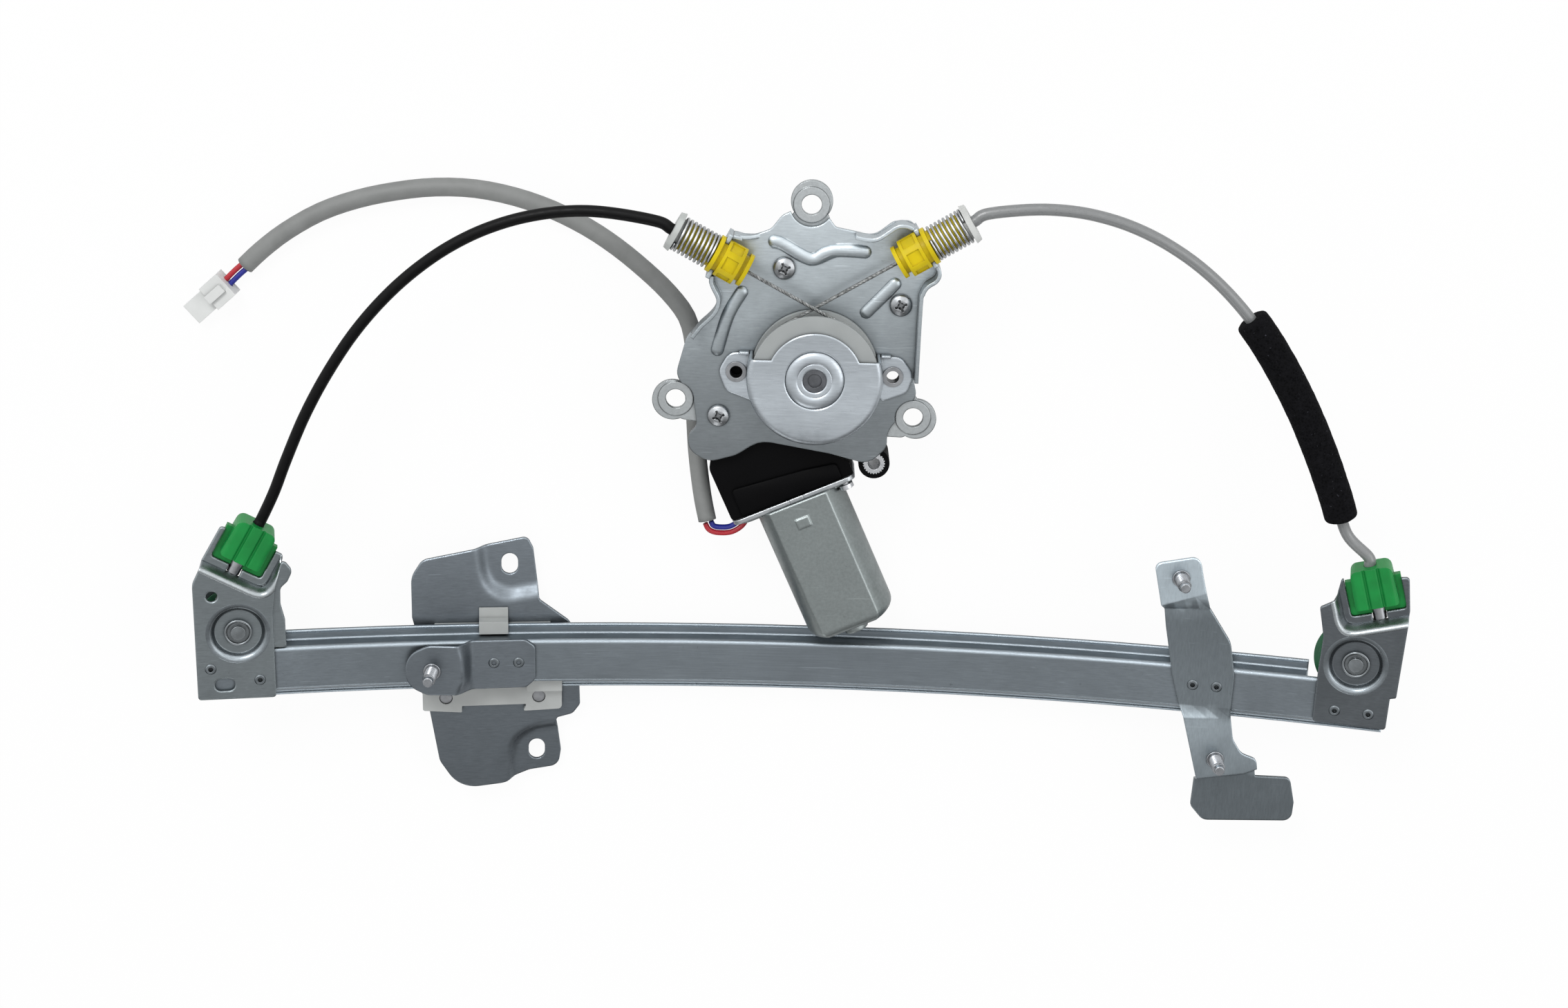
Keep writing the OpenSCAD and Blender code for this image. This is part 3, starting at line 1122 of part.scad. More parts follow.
module lift_plate() {
    t = lift_t;
    z = lift_top;
    color([0.37, 0.39, 0.42]) on_carriage() translate([0, -0.6, 0]) difference() {
        union() {
            difference() {
                plate(lift_edge, z - t, t);
                translate([0, 0, z - 9]) linear_extrude(20) polygon(concat(pad_a_out,
                    [[10, -128], [10, -90], [-33.5, -90]]));
                translate([0, 0, z - 9]) linear_extrude(20) polygon(concat(pad_b_out,
                    [[20, -230], [20, -187.8]]));
            }
            intersection() {
                lift_form();
                union() {
                    ramp([for (p = pad_a_out) [p[0], p[1], z]],
                        [for (p = pad_a_in) [p[0], p[1], z - pad_drop]], t);
                    translate([0, 0, z - t - pad_drop]) linear_extrude(t)
                        polygon(concat(pad_a_in, [[4, -90], [-26, -90]]));
                    ramp([for (p = pad_b_out) [p[0], p[1], z]],
                        [for (p = pad_b_in) [p[0], p[1], z - pad_drop]], t);
                    translate([0, 0, z - t - pad_drop]) linear_extrude(t)
                        polygon(concat(pad_b_in, [[20, -230], [20, -193]]));
                }
            }
        }
        lift_slot(-16, -113.2);
        lift_slot(-4.5, -204.5);
        for (q = [[-45.5, -175.6], [-3.5, -175.6]])
            pin(q[0], q[1], z - 9, 2 + fit, 30);
    }
}
// white slider: base behind the flanges, hooks round both flange edges, rope block inside
module slider() {
    f = rail_web / 2 + rail_flange;
    b = -rail_depth - 0.1;
    h = -rail_depth + 2.6;
    // the lips rise towards the feet, because the rail is bowed
    e = h + 1024 / (2 * rail_r) - 0.05;
    u = rail_y + f + 0.3;
    l = rail_y - f - 0.3;
    w = rail_web / 2 - rail_t - 0.4;
    color([0.86, 0.87, 0.85]) on_carriage() difference() {
        union() {
            box(-30, u - 3, lift_top, 13, 9, 1);
            box(-30, u, lift_top, 13, 1.4, h + 1.4 - lift_top);
            box(-30, u - 4.4, h, 13, 4.5, 1.4);
            box(-50, rail_y - 14, lift_top, 52, 28.2, b - lift_top);
            translate([0, 0, lift_top]) linear_extrude(b - lift_top)
                polygon(rounded([[-56, -182.2, 1], [-56, -166, 1], [7, -166, 1], [7, -182.4, 2],
                    [-10.6, -183.2, 0.5], [-9, -179.8, 0.5], [-38.4, -180.2, 0.5],
                    [-38.4, -183.4, 0.5]]));
            for (x = [-56, -9]) {
                box(x, l - 1.5, lift_top, 16, 1.5, e + 1.4 - lift_top);
                box(x, l - 0.1, e, 16, 4.5, 1.4);
            }
            box(-42, rail_y - w, b - 0.5, 36, 2 * w, 3);
            box(-42, rope_y - 3.6, b, 36, 7.2, -2.6 - b);
        }
        box(-50, rope_y - rope_d / 2 - 0.35, pulley_mid - rope_d / 2 - 0.4, 60, rope_d + 0.7, 9);
        for (x = [-40, -13.6])
            box(x - fit, rope_y - 2.4 - fit, pulley_mid - 2.3, 5.6 + 2 * fit, 4.8 + 2 * fit, 9);
        for (x = [-45.5, -3.5]) {
            pin(x, -176.2, lift_top - 1, 2 + fit, 30);
            pin(x, -176.2, lift_top + 1.4, 3, 30);
        }
    }
}
module slider_rivets() {
    color([0.5, 0.5, 0.52]) on_carriage() for (x = [-45.5, -3.5]) {
        pin(x, -176.2, lift_top - lift_t - 0.8, 2, lift_t + 2.4);
        pin(x, -176.2, lift_top + 1.4, 2.8, 0.9);
        pin(x, -176.2, lift_top - lift_t - 0.8, 3.2, 0.8);
    }
}
module cable_nipples() {
    // crimped rope ends in the slider's two pockets
    color([0.66, 0.62, 0.5]) on_carriage() for (x = [-40, -13.6])
        translate([x, rope_y, pulley_mid]) rotate([0, 90, 0]) difference() {
            cylinder(r = 2.3, h = 5.6);
            translate([0, 0, -1]) cylinder(r = rope_d / 2 + 0.2, h = 9);
        }
}

// conduits: route points chosen by hand between the ends that the guides give
left_mid = [[-77, 54.8, 10], [-92, 55.6, 10], [-108, 53.8, 9.5], [-124, 49.6, 9], [-140, 42.6, 8],
    [-156, 32.4, 7], [-172, 18.6, 6], [-187, 1.6, 5], [-200, -17.6, 4], [-211, -37.6, 3],
    [-220, -58, 2], [-226, -73, 1]];
right_mid = [[92, 61.2, 10], [106, 61.4, 10], [120, 59.6, 9.5], [135, 55.4, 9], [150, 48.6, 8.5],
    [165, 39, 7.5], [179, 27, 6.5], [192, 12.6, 6], [204, -4.4, 5], [215, -23, 4],
    [225, -43, 3], [233.6, -63, 2], [240, -79, 1.4]];
left_route = spline(concat([for (t = [14, 19, 25]) left_pt(left_t + t + spring_len)],
    left_mid, [for (t = [13, 9, 4.5]) left_end(t)]), 4);
right_route = spline(concat([for (t = [14, 19, 25]) right_pt(right_t + t + spring_len)],
    right_mid, [for (t = [13, 9, 4.5]) right_end(t)]), 4);
module left_conduit() {
    color([0.05, 0.05, 0.06]) skin(rings(left_route, conduit_d / 2, 10));
}
module right_conduit() {
    color([0.45, 0.46, 0.48]) skin(rings(right_route, conduit_d / 2, 10));
}
module foam_sleeve() {
    color([0.07, 0.07, 0.08])
        pipe([for (i = [39:58]) right_route[i]], foam_d / 2, conduit_d / 2 + 0.2, 12);
}

// harness: leads from the brush box into the sleeve, along the floor to the plug
sleeve_route = [[-38.6, -86.6, -16], [-40.6, -78, -17.6], [-42.4, -68, -20.6],
    [-44, -57, -24.6], [-45, -46, -28], [-45.8, -34, -29.8], [-46, -22, -30], [-46.4, -10, -30],
    [-49.6, 2, -30], [-57.6, 12.6, -30], [-68, 22.4, -30], [-80, 32, -30], [-93, 40.4, -30],
    [-108, 47.6, -30], [-124, 52.8, -30], [-141, 55.8, -30], [-158, 56, -30], [-175, 53.8, -30],
    [-192, 49.8, -30], [-208, 43.8, -30], [-223, 35, -30], [-234, 26.4, -30],
    [-241.4, 19.4, -30]];
module harness_sleeve() {
    p = [for (i = [0:len(sleeve_route) - 1]) [sleeve_route[i][0], sleeve_route[i][1],
        i < 5 ? sleeve_route[i][2] : floor_z + sleeve_d / 2 + (i < 6 ? 0.2 : 0)]];
    color([0.5, 0.51, 0.51]) skin(rings(spline(p, 3), sleeve_d / 2, 12));
}
lead_loop = [[-24.8, -77.9, -20.5], [-22.4, -83.4, -20.4], [-23.6, -88.2, -19.6], [-28, -91.2, -18.4],
    [-33.4, -91.4, -17.2], [-36.8, -90.2, -16.4], [-38.2, -87.6, -16]];
lead_tail = [[-241.9, 18.9], [-245.2, 16], [-250, 11.2]];
module lead(side) {
    // one lead: from the brush box round into the sleeve, and from the sleeve to the plug
    skin(rings(beside(spline(lead_loop, 3), side * 1.35), lead_d / 2, 8));
    skin(rings(beside([for (p = spline(lead_tail, 3)) [p[0], p[1], floor_z + sleeve_d / 2]],
        -side * 1.35), lead_d / 2, 8));
}
module red_lead() {
    color([0.6, 0.1, 0.14]) lead(1);
}
module blue_lead() {
    color([0.1, 0.12, 0.45]) lead(-1);
}
module plug() {
    color([0.9, 0.9, 0.89]) translate([-249, 12, floor_z]) rotate([0, 0, 222]) difference() {
        union() {
            translate([0, -6, 0]) cube([10.5, 12, 9.4]);
            translate([10.4, -5, 0]) cube([11.6, 10, 6.4]);
            translate([2, -2, 9.3]) cube([9, 4, 1.6]);
        }
        for (y = [-1.35, 1.35])
            translate([-1, y, sleeve_d / 2]) rotate([0, 90, 0]) cylinder(r = lead_d / 2 + 0.1, h = 3.4);
        translate([13, -4.1, 1.2]) cube([10, 8.2, 3.8]);
    }
}

drum_plate();
motor_bracket();
drum_cover();
cover_eyelets();
plate_screws();
drum();
output_shaft();
worm_wheel();
left_head_rope();
right_head_rope();
left_cable_guide();
right_cable_guide();
left_spring();
right_spring();
left_spring_cap();
right_spring_cap();
gear_housing();
gear_cover();
thread_insert();
motor_flange();
motor_can();
can_screws();
magnets();
armature_shaft();
armature_core();
commutator();
brush_card();
brushes();
armature_bearings();
rail();
left_bracket();
right_bracket();
left_back_plate();
right_back_plate();
left_pulley();
right_pulley();
pulley_pins();
left_conduit_guide();
right_conduit_guide();
guide_tubes();
rail_rope();
stud_bracket();
cross_bracket();
studs();
bracket_rivets();
lift_plate();
slider();
slider_rivets();
cable_nipples();
left_conduit();
right_conduit();
foam_sleeve();
harness_sleeve();
red_lead();
blue_lead();
plug();
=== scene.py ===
from math import ceil, cos, degrees, pi, radians, sin, sqrt, tan, tau

import bmesh
import bpy
import numpy as np
from mathutils import Matrix, Vector, geometry, noise


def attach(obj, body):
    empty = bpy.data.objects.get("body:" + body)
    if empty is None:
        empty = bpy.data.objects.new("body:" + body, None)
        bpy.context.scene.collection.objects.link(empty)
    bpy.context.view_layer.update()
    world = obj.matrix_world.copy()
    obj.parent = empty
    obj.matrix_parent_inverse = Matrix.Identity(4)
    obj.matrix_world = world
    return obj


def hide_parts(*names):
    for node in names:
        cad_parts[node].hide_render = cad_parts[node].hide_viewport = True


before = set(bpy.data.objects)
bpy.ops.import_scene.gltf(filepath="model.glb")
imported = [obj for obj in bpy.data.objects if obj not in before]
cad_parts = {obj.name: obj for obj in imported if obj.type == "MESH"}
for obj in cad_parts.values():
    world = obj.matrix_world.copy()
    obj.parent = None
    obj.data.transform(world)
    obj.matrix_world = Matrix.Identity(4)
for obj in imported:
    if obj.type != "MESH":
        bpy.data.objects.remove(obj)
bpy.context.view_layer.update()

MM = 0.001
FLOOR_Z = -34 * MM

# camera, fitted to the photograph
PHOTO_WIDTH = 2269
FOCAL_PX = 3400
TILT = radians(18.5)
ROLL = radians(1.6)
EYE = Vector((-4.9, 250.9, 967.3)) * MM


def new_object(name, data):
    """An object of this data, in the scene."""
    made = bpy.data.objects.new(name, data)
    bpy.context.scene.collection.objects.link(made)
    return made


def make_camera():
    """Camera at the place and angle from which the photograph was taken."""
    data = bpy.data.cameras.new("camera")
    data.sensor_fit = "HORIZONTAL"
    data.sensor_width = 36
    data.lens = data.sensor_width * FOCAL_PX / PHOTO_WIDTH
    data.clip_start = 0.01
    data.clip_end = 30
    back = Vector((0, sin(TILT), cos(TILT)))
    level = Vector((1, 0, 0))
    rise = Vector((0, cos(TILT), -sin(TILT)))
    right = level * cos(ROLL) + rise * sin(ROLL)
    up = rise * cos(ROLL) - level * sin(ROLL)
    camera = new_object("camera", data)
    axes = Matrix((right, up, back)).transposed().to_4x4()
    camera.matrix_world = Matrix.Translation(EYE) @ axes
    bpy.context.scene.camera = camera


# paths, tubes and sheets
NEARLY_STRAIGHT = radians(88)  # half of a corner's angle, from which no arc is made
HALVINGS = 20  # steps of the search for the place where a row crosses an outline
BORDER = 0.45  # steps of a sheet's grid that stay free beside its outline
END_SHARE = 0.8  # radius at the very end of a tube with rounded ends, as a share of its own


def spline(points, steps):
    """Catmull-Rom curve through the points, with that many steps a span."""
    points = [Vector(p) for p in points]
    out = []
    last = len(points) - 1
    for i in range(last):
        a, b = points[max(i - 1, 0)], points[i]
        c, d = points[i + 1], points[min(i + 2, last)]
        for j in range(steps):
            t = j / steps
            out.append(0.5 * (2 * b + (c - a) * t + (2 * a - 5 * b + 4 * c - d) * t ** 2
                              + (3 * b - a - 3 * c + d) * t ** 3))
    return out + [points[-1]]


def mm(points):
    """Points given in millimetres, as vectors in metres."""
    return [Vector(p) * MM for p in points]


def length_of(path):
    return sum((b - a).length for a, b in zip(path, path[1:]))


def heading(path, i):
    """Direction of the path at its point i."""
    return (path[min(i + 1, len(path) - 1)] - path[max(i - 1, 0)]).normalized()


def spread(path, step):
    """The same path with its points a fixed step apart."""
    out = [path[0]]
    left = step
    for a, b in zip(path, path[1:]):
        span = (b - a).length
        at = left
        while at <= span:
            out.append(a.lerp(b, at / span))
            at += step
        left = at - span
    if (out[-1] - path[-1]).length > 0.3 * step:
        out.append(path[-1])
    else:
        out[-1] = path[-1]
    return out


def ring(radius, sides):
    """Round cross-section as (radius, angle) pairs."""
    return [(radius, tau * k / sides) for k in range(sides)]


def strand_ring(radius, strands=6, each=5):
    """Cross-section of a rope: the outline of round strands laid about a core."""
    strand = radius / 3
    out = []
    for k in range(strands):
        for i in range(each):
            turn = radians(360 / strands * (i / each - 0.5))
            aside = 2 * strand * sin(turn)
            reach = 2 * strand * cos(turn) + sqrt(max(strand ** 2 - aside ** 2, 0))
            out.append((reach, tau * k / strands + turn))
    return out


def band_faces(rows, count, first=0):
    """Quads that join each row of points to the next, all rows closed and of one count."""
    faces = []
    for i in range(rows - 1):
        a, b = first + i * count, first + (i + 1) * count
        for k in range(count):
            n = (k + 1) % count
            faces.append((a + k, a + n, b + n, b + k))
    return faces


def end_faces(rows, count):
    return [tuple(reversed(range(count))), tuple(range((rows - 1) * count, rows * count))]


def mesh_piece(name, verts, faces, uvs=None):
    """New smooth-shaded object; uvs holds one pair a vertex."""
    mesh = bpy.data.meshes.new(name)
    mesh.from_pydata(verts, [], faces)
    mesh.validate()
    if uvs:
        layer = mesh.uv_layers.new(name="along")
        for loop in mesh.loops:
            layer.data[loop.index].uv = uvs[loop.vertex_index]
    mesh.shade_smooth()
    return new_object(name, mesh)


def tube(name, path, section, twist=0.0, scale=None, round_ends=0.0):
    """Tube of that cross-section along a path. twist is in turns a metre; scale(way, turn) swells it."""
    verts, uvs = [], []
    side = heading(path, 0).orthogonal().normalized()
    way = 0.0
    total = length_of(path)
    for i, point in enumerate(path):
        ahead = heading(path, i)
        side = (side - ahead * side.dot(ahead)).normalized()
        other = ahead.cross(side)
        if i:
            way += (point - path[i - 1]).length
        fade = 1.0
        if round_ends:
            near = min(way, total - way) / round_ends
            fade = END_SHARE + (1 - END_SHARE) * sqrt(max(0.0, 1 - (1 - min(near, 1)) ** 2))
        for radius, turn in section:
            swell = fade * (scale(way, turn) if scale else 1.0)
            about = turn + tau * twist * way
            verts.append(point + radius * swell * (side * cos(about) + other * sin(about)))
            uvs.append((turn / tau, way))
    rows, count = len(path), len(section)
    return mesh_piece(name, verts, band_faces(rows, count) + end_faces(rows, count), uvs)


def rounded(points, step=15):
    """Closed outline from corners (x, y, radius), each corner an arc."""
    out = []
    for i, (x, y, radius) in enumerate(points):
        here = Vector((x, y))
        before = (Vector(points[i - 1][:2]) - here).normalized()
        after = (Vector(points[(i + 1) % len(points)][:2]) - here).normalized()
        half = before.angle(after) / 2
        if not radius or half > NEARLY_STRAIGHT:
            out.append(here)
            continue
        middle = here + (before + after).normalized() * radius / sin(half)
        start = here + before * radius / tan(half) - middle
        sweep = start.angle_signed(here + after * radius / tan(half) - middle)
        count = max(2, ceil(abs(degrees(sweep)) / step))
        for j in range(count + 1):
            out.append(middle + Matrix.Rotation(-sweep * j / count, 2) @ start)
    return out


def beyond(loop, distance):
    """A closed outline moved outwards by a distance; below zero moves it inwards."""
    area = sum(a.x * b.y - b.x * a.y for a, b in zip(loop, loop[1:] + loop[:1]))
    way = distance if area > 0 else -distance
    out = []
    for i, here in enumerate(loop):
        along = (loop[(i + 1) % len(loop)] - loop[i - 1]).normalized()
        out.append(here + Vector((along.y, -along.x)) * way)
    return out


def outward(piece, angle):
    """Turns all faces of a closed piece outwards and keeps its corners above an angle sharp."""
    body = bmesh.new()
    body.from_mesh(piece.data)
    bmesh.ops.recalc_face_normals(body, faces=body.faces)
    body.to_mesh(piece.data)
    body.free()
    piece.data.set_sharp_from_angle(angle=radians(angle))
    return piece


def lofted(name, rings):
    """Closed solid through rings of as many points each, capped at both ends."""
    rows, count = len(rings), len(rings[0])
    faces = end_faces(rows, count) + band_faces(rows, count)
    return outward(mesh_piece(name, [p for row in rings for p in row], faces), 50)


def revolved(name, profile, place_at):
    """Ring from a closed profile of radius and height pairs in mm, set down by place_at."""
    sides = 72
    verts, faces = [], []
    for radius, lift in profile:
        for k in range(sides):
            turn = tau * k / sides
            verts.append(place_at(radius * cos(turn), radius * sin(turn), lift) * MM)
    rows = len(profile)
    for i in range(rows):
        for k in range(sides):
            n, j = (k + 1) % sides, (i + 1) % rows
            faces.append((i * sides + k, j * sides + k, j * sides + n, i * sides + n))
    return outward(mesh_piece(name, verts, faces), 60)


def within(points, loop):
    """Which of the points (an array of x and y) lie inside the closed loop."""
    x, y = points[:, 0], points[:, 1]
    inside = np.zeros(len(points), bool)
    for (ax, ay), (bx, by) in zip(loop, loop[1:] + loop[:1]):
        if ay != by:
            inside ^= ((ay > y) != (by > y)) & (x < (bx - ax) * (y - ay) / (by - ay) + ax)
    return inside


def cut_row(row, loop, count):
    """The part of an open row of points inside a closed loop, as that many evenly spaced points."""
    inside = [i for i, yes in enumerate(within(np.array(row), loop)) if yes]
    kept = [row[i] for i in inside]
    for at, end, step in ((0, inside[0], -1), (len(kept) + 1, inside[-1], 1)):
        if 0 <= end + step < len(row):
            a, b = row[end], row[end + step]
            for _ in range(HALVINGS):
                half = (a + b) / 2
                a, b = (half, b) if within(np.array([half]), loop)[0] else (a, half)
            kept.insert(at, a)
    x, y = np.array(kept).T
    way = np.concatenate([[0], np.cumsum(np.hypot(np.diff(x), np.diff(y)))])
    even = np.linspace(0, way[-1], count)
    return [Vector(p) for p in zip(np.interp(even, way, x), np.interp(even, way, y))]


def gap_to(points, line):
    """Distance from each point to the nearest part of an open line."""
    best = np.full(len(points), 1e9)
    for a, b in zip(line, line[1:]):
        a, way = np.array(a), np.array(b) - np.array(a)
        t = np.clip((points - a) @ way / max(way @ way, 1e-12), 0, 1)
        best = np.minimum(best, np.hypot(*(points - a - t[:, None] * way).T))
    return best


def pressed(name, edge, holes, height, thick, place_at, step=1.2):
    """Pressed sheet in mm: a flat outline with holes, raised by height(points), set down by place_at."""
    def on_sheet(points):
        yes = within(points, edge)
        for hole in holes:
            yes &= ~within(points, hole)
        return yes
    loops = []
    for loop in [edge, *holes]:
        fine = []
        for a, b in zip(loop, loop[1:] + loop[:1]):
            count = max(1, round((b - a).length / step))
            fine += [a.lerp(b, j / count) for j in range(count)]
        loops.append(fine)
    low = [min(p[k] for p in edge) for k in (0, 1)]
    high = [max(p[k] for p in edge) for k in (0, 1)]
    grid = np.array([(x + (j % 2) * step / 2, y) for j, y in enumerate(np.arange(low[1], high[1], step))
                     for x in np.arange(low[0], high[0], step)])
    keep = on_sheet(grid)
    for loop in loops:
        keep &= gap_to(grid, loop + loop[:1]) > BORDER * step
    corners = [p for loop in loops for p in loop] + [Vector(p) for p in grid[keep]]
    borders, first = [], 0
    for loop in loops:
        borders += [(first + k, first + (k + 1) % len(loop)) for k in range(len(loop))]
        first += len(loop)
    flat, _, triangles, *_ = geometry.delaunay_2d_cdt(corners, borders, [], 0, 1e-5)
    points = np.array(flat)
    middle = np.array([sum((points[k] for k in t), np.zeros(2)) / 3 for t in triangles])
    top = [tuple(t) for t, yes in zip(triangles, on_sheet(middle)) if yes]
    z = height(points)
    count = len(points)
    verts = [place_at(x, y, h) for (x, y), h in zip(points, z)]
    verts += [place_at(x, y, h - thick) for (x, y), h in zip(points, z)]
    faces = top + [tuple(k + count for k in reversed(t)) for t in top]
    sides = {(a, b) for t in top for a, b in zip(t, t[1:] + t[:1])}
    faces += [(b, a, a + count, b + count) for a, b in sides if (b, a) not in sides]
    used = sorted({k for face in faces for k in face})
    fresh = {k: i for i, k in enumerate(used)}
    piece = mesh_piece(name, [verts[k] for k in used], [tuple(fresh[k] for k in f) for f in faces])
    piece.data.set_sharp_from_angle(angle=radians(55))
    return piece


def ease(t):
    """Smooth step from 0 to 1."""
    t = np.clip(t, 0, 1)
    return t * t * (3 - 2 * t)


# places on the regulator in millimetres and degrees, by the same formulas as the solids
DRUM = Vector((6.5, -12.2, 0))
ROPE_R = 25.4
ROPE_D = 1.6
CABLE_Z = 9.9
# cable line of each side: angle, side of the drum, from tangent point to spring, lift of the rope
LINE = {"left": (152.0, -1, 47.0, 1.05), "right": (31.0, 1, 54.0, -1.05)}
RAIL_R = 1100
RAIL_ZC = -18.5 + RAIL_R
# end of the rail: place along it, tilt of the guide, from pulley to guide, hand
PULLEY = {"left": (-245, 29.5, 37.8, 1), "right": (250, 16.5, 33.2, -1)}
PULLEY_R = 14
PULLEY_Y = -136.2
PULLEY_MID = -5.9
SPRING_LEN = 17.0
SPRING_WIRE = 1.2
SPRING_R = 7.15
SPRING_TURNS = 9
SPRING_SEAT = 15.85
CLOSED_TURNS = 0.8
COIL_GAP = 0.02
CONDUIT_D = 5.0
FOAM_D = 14.5
SLEEVE_D = 8.0
LEAD_D = 2.4
MOTOR_AXIS = -65.8
MOTOR_Z = -13.5
WORM_GAP = 29.5


def line_frame(side):
    """Frame of a cable line at the head: X outwards along the cable, from its tangent point."""
    angle, sign, *_ = LINE[side]
    turn = Matrix.Rotation(radians(angle), 4, "Z")
    return Matrix.Translation(DRUM) @ turn @ Matrix.Translation((0, sign * ROPE_R, CABLE_Z))


def line_point(side, t, lift=0.0):
    """Point of a cable line, t outwards from its tangent point."""
    return line_frame(side) @ Vector((t, 0, lift))


def rail_point(s, x, y, z):
    """Point in the rail's own frame at s along its bow."""
    a = s / RAIL_R
    return Vector(((RAIL_R - z) * sin(a) + x * cos(a), y,
                   RAIL_ZC - (RAIL_R - z) * cos(a) + x * sin(a)))


def guide_point(side, t):
    """Point on a conduit guide's axis, t outwards from its middle."""
    s, tilt, run, sign = PULLEY[side]
    a = radians(tilt)
    return rail_point(s, sign * (-PULLEY_R * cos(a) + (run + t) * sin(a)),
                      PULLEY_Y + PULLEY_R * sin(a) + (run + t) * cos(a), PULLEY_MID)


def motor_point(u, n, z):
    """Point in metres from the motor's frame: u along its axis, n across, z up."""
    to_worm = (Matrix.Translation(DRUM + Vector((0, 0, MOTOR_Z)))
               @ Matrix.Rotation(radians(MOTOR_AXIS), 4, "Z") @ Matrix.Translation((0, -WORM_GAP, 0)))
    return (to_worm @ Vector((u, n, z))) * MM


# routes of the conduits and the harness
LEFT_MID = [(-77, 54.8, 10), (-92, 55.6, 10), (-108, 53.8, 9.5), (-124, 49.6, 9), (-140, 42.6, 8),
            (-156, 32.4, 7), (-172, 18.6, 6), (-187, 1.6, 5), (-200, -17.6, 4), (-211, -37.6, 3),
            (-220, -58, 2), (-226, -73, 1)]
RIGHT_MID = [(92, 61.2, 10), (106, 61.4, 10), (120, 59.6, 9.5), (135, 55.4, 9), (150, 48.6, 8.5),
             (165, 39, 7.5), (179, 27, 6.5), (192, 12.6, 6), (204, -4.4, 5), (215, -23, 4),
             (225, -43, 3), (233.6, -63, 2), (240, -79, 1.4)]
LYING = [(-46, -22), (-46.4, -10), (-49.6, 2), (-57.6, 12.6), (-68, 22.4), (-80, 32), (-93, 40.4),
         (-108, 47.6), (-124, 52.8), (-141, 55.8), (-158, 56), (-175, 53.8), (-192, 49.8),
         (-208, 43.8), (-223, 35), (-234, 26.4), (-241.4, 19.4)]
SLEEVE_ROUTE = [(-38.6, -86.6, -16), (-40.6, -78, -17.6), (-42.4, -68, -20.6), (-44, -57, -24.6),
                (-45, -46, -28), (-45.8, -34, -29.8), *((x, y, -30) for x, y in LYING)]
LEAD_LOOP = [(-24.8, -77.9, -20.5), (-22.4, -83.4, -20.4), (-23.6, -88.2, -19.6), (-28, -91.2, -18.4),
             (-33.4, -91.4, -17.2), (-36.8, -90.2, -16.4), (-38.2, -87.6, -16)]
LEAD_TAIL = [(-241.9, 18.9, -30), (-245.2, 16, -30), (-250, 11.2, -30)]
FOAM_SPAN = (39, 58)  # first and last point of the right conduit's route inside the foam

# outlines; a corner is (x, y, radius)
PLATE_TOP = 1.4
COVER_FACE = 17.6
RIBS = {"upper_rib": [(-14.6, 43.1), (-9.5, 42.6), (3.2, 36.1), (9.6, 38.8), (15.6, 40.1), (28.8, 39.6)],
        "left_rib": [(-23.6, 23.4), (-26.6, 19), (-30.5, 11.6), (-33.2, 3), (-35.6, -6.8)],
        "right_rib": [(41, 28.5), (25.7, 11.9)]}
BRUSH_LID = [(36.5, -25, 2), (49.8, -25, 1), (49.8, 22, 1), (42.5, 22, 2), (40, 8, 4)]
BRIDGE = [(50, -3.2), (52, -3.2), (52, 3.2), (50, 3.2)]
LIFT_T = 1.6
LIFT_TOP = -12.6
LIFT_SHIFT = (24, -0.6)
PAD_DROP = 3.5
CARRIAGE_S = -134
LIFT_EDGE = [(-60, -137, 0), (-60, -118, 10), (-55, -110, 6), (-8, -100.6, 3), (-5.4, -106, 4),
             (-2.8, -129.6, 2), (10, -139.6, 4), (14.4, -146, 3), (15.4, -181, 3), (12, -185.6, 4),
             (4.4, -187.6, 1.5), (6.6, -205, 3), (5.4, -213, 5), (-8, -215, 8), (-20, -219.9, 14),
             (-40, -222.28, 14), (-49, -208, 8), (-54, -177, 8), (-57, -150, 0)]
LIFT_SLOTS = [(-16, -113.2), (-4.5, -204.5)]
SLOT_SIZE = (7.4, 10)
SLIDER_RIVETS = [(-45.5, -175.6), (-3.5, -175.6)]
RIVET_HOLE_R = 2.05
# each lowered pad: its bend's outer and inner line, then the corners that close both
PADS = [([(-33.5, -100), (-32.2, -107), (-30.6, -117.5), (-27.6, -124.6), (-22.5, -129), (-16, -130.6),
          (-8, -129.4), (4, -127.6)],
         [(-26, -100), (-25.6, -107), (-24.8, -115.5), (-22.6, -120.4), (-19.2, -123), (-15, -123.8),
          (-8, -122.6), (4, -120.6)], [(10, -90), (-26, -90)]),
        ([(12, -187.8), (2, -189.6), (-6, -191), (-11.6, -193.6), (-15.6, -197.2), (-17.8, -202),
          (-18.4, -210), (-18.6, -226)],
         [(12, -193), (2, -194.4), (-5, -195.2), (-9, -197.2), (-11.8, -199.8), (-13.2, -203.6),
          (-13.8, -210), (-14, -226)], [(20, -230), (20, -190)])]
STUD_SEAT = -129
SEAT_Z = 0.18
BRACKET_T = 1.6
STUD_EDGE = [(-162, -167.5, 9), (-171.3, -163, 9), (-171.3, -149, 10), (-161, -144, 9),
             (-118.9, -143.8, 4), (-114.7, -147, 3), (-114.7, -163, 4), (-118.7, -166.6, 3)]
# where the joggle starts, and where it ends
JOGGLE = [(-148.6, -144.5), (-147, -150), (-146.6, -156), (-147.2, -162), (-149.4, -166.6)]
JOGGLE_END = -142

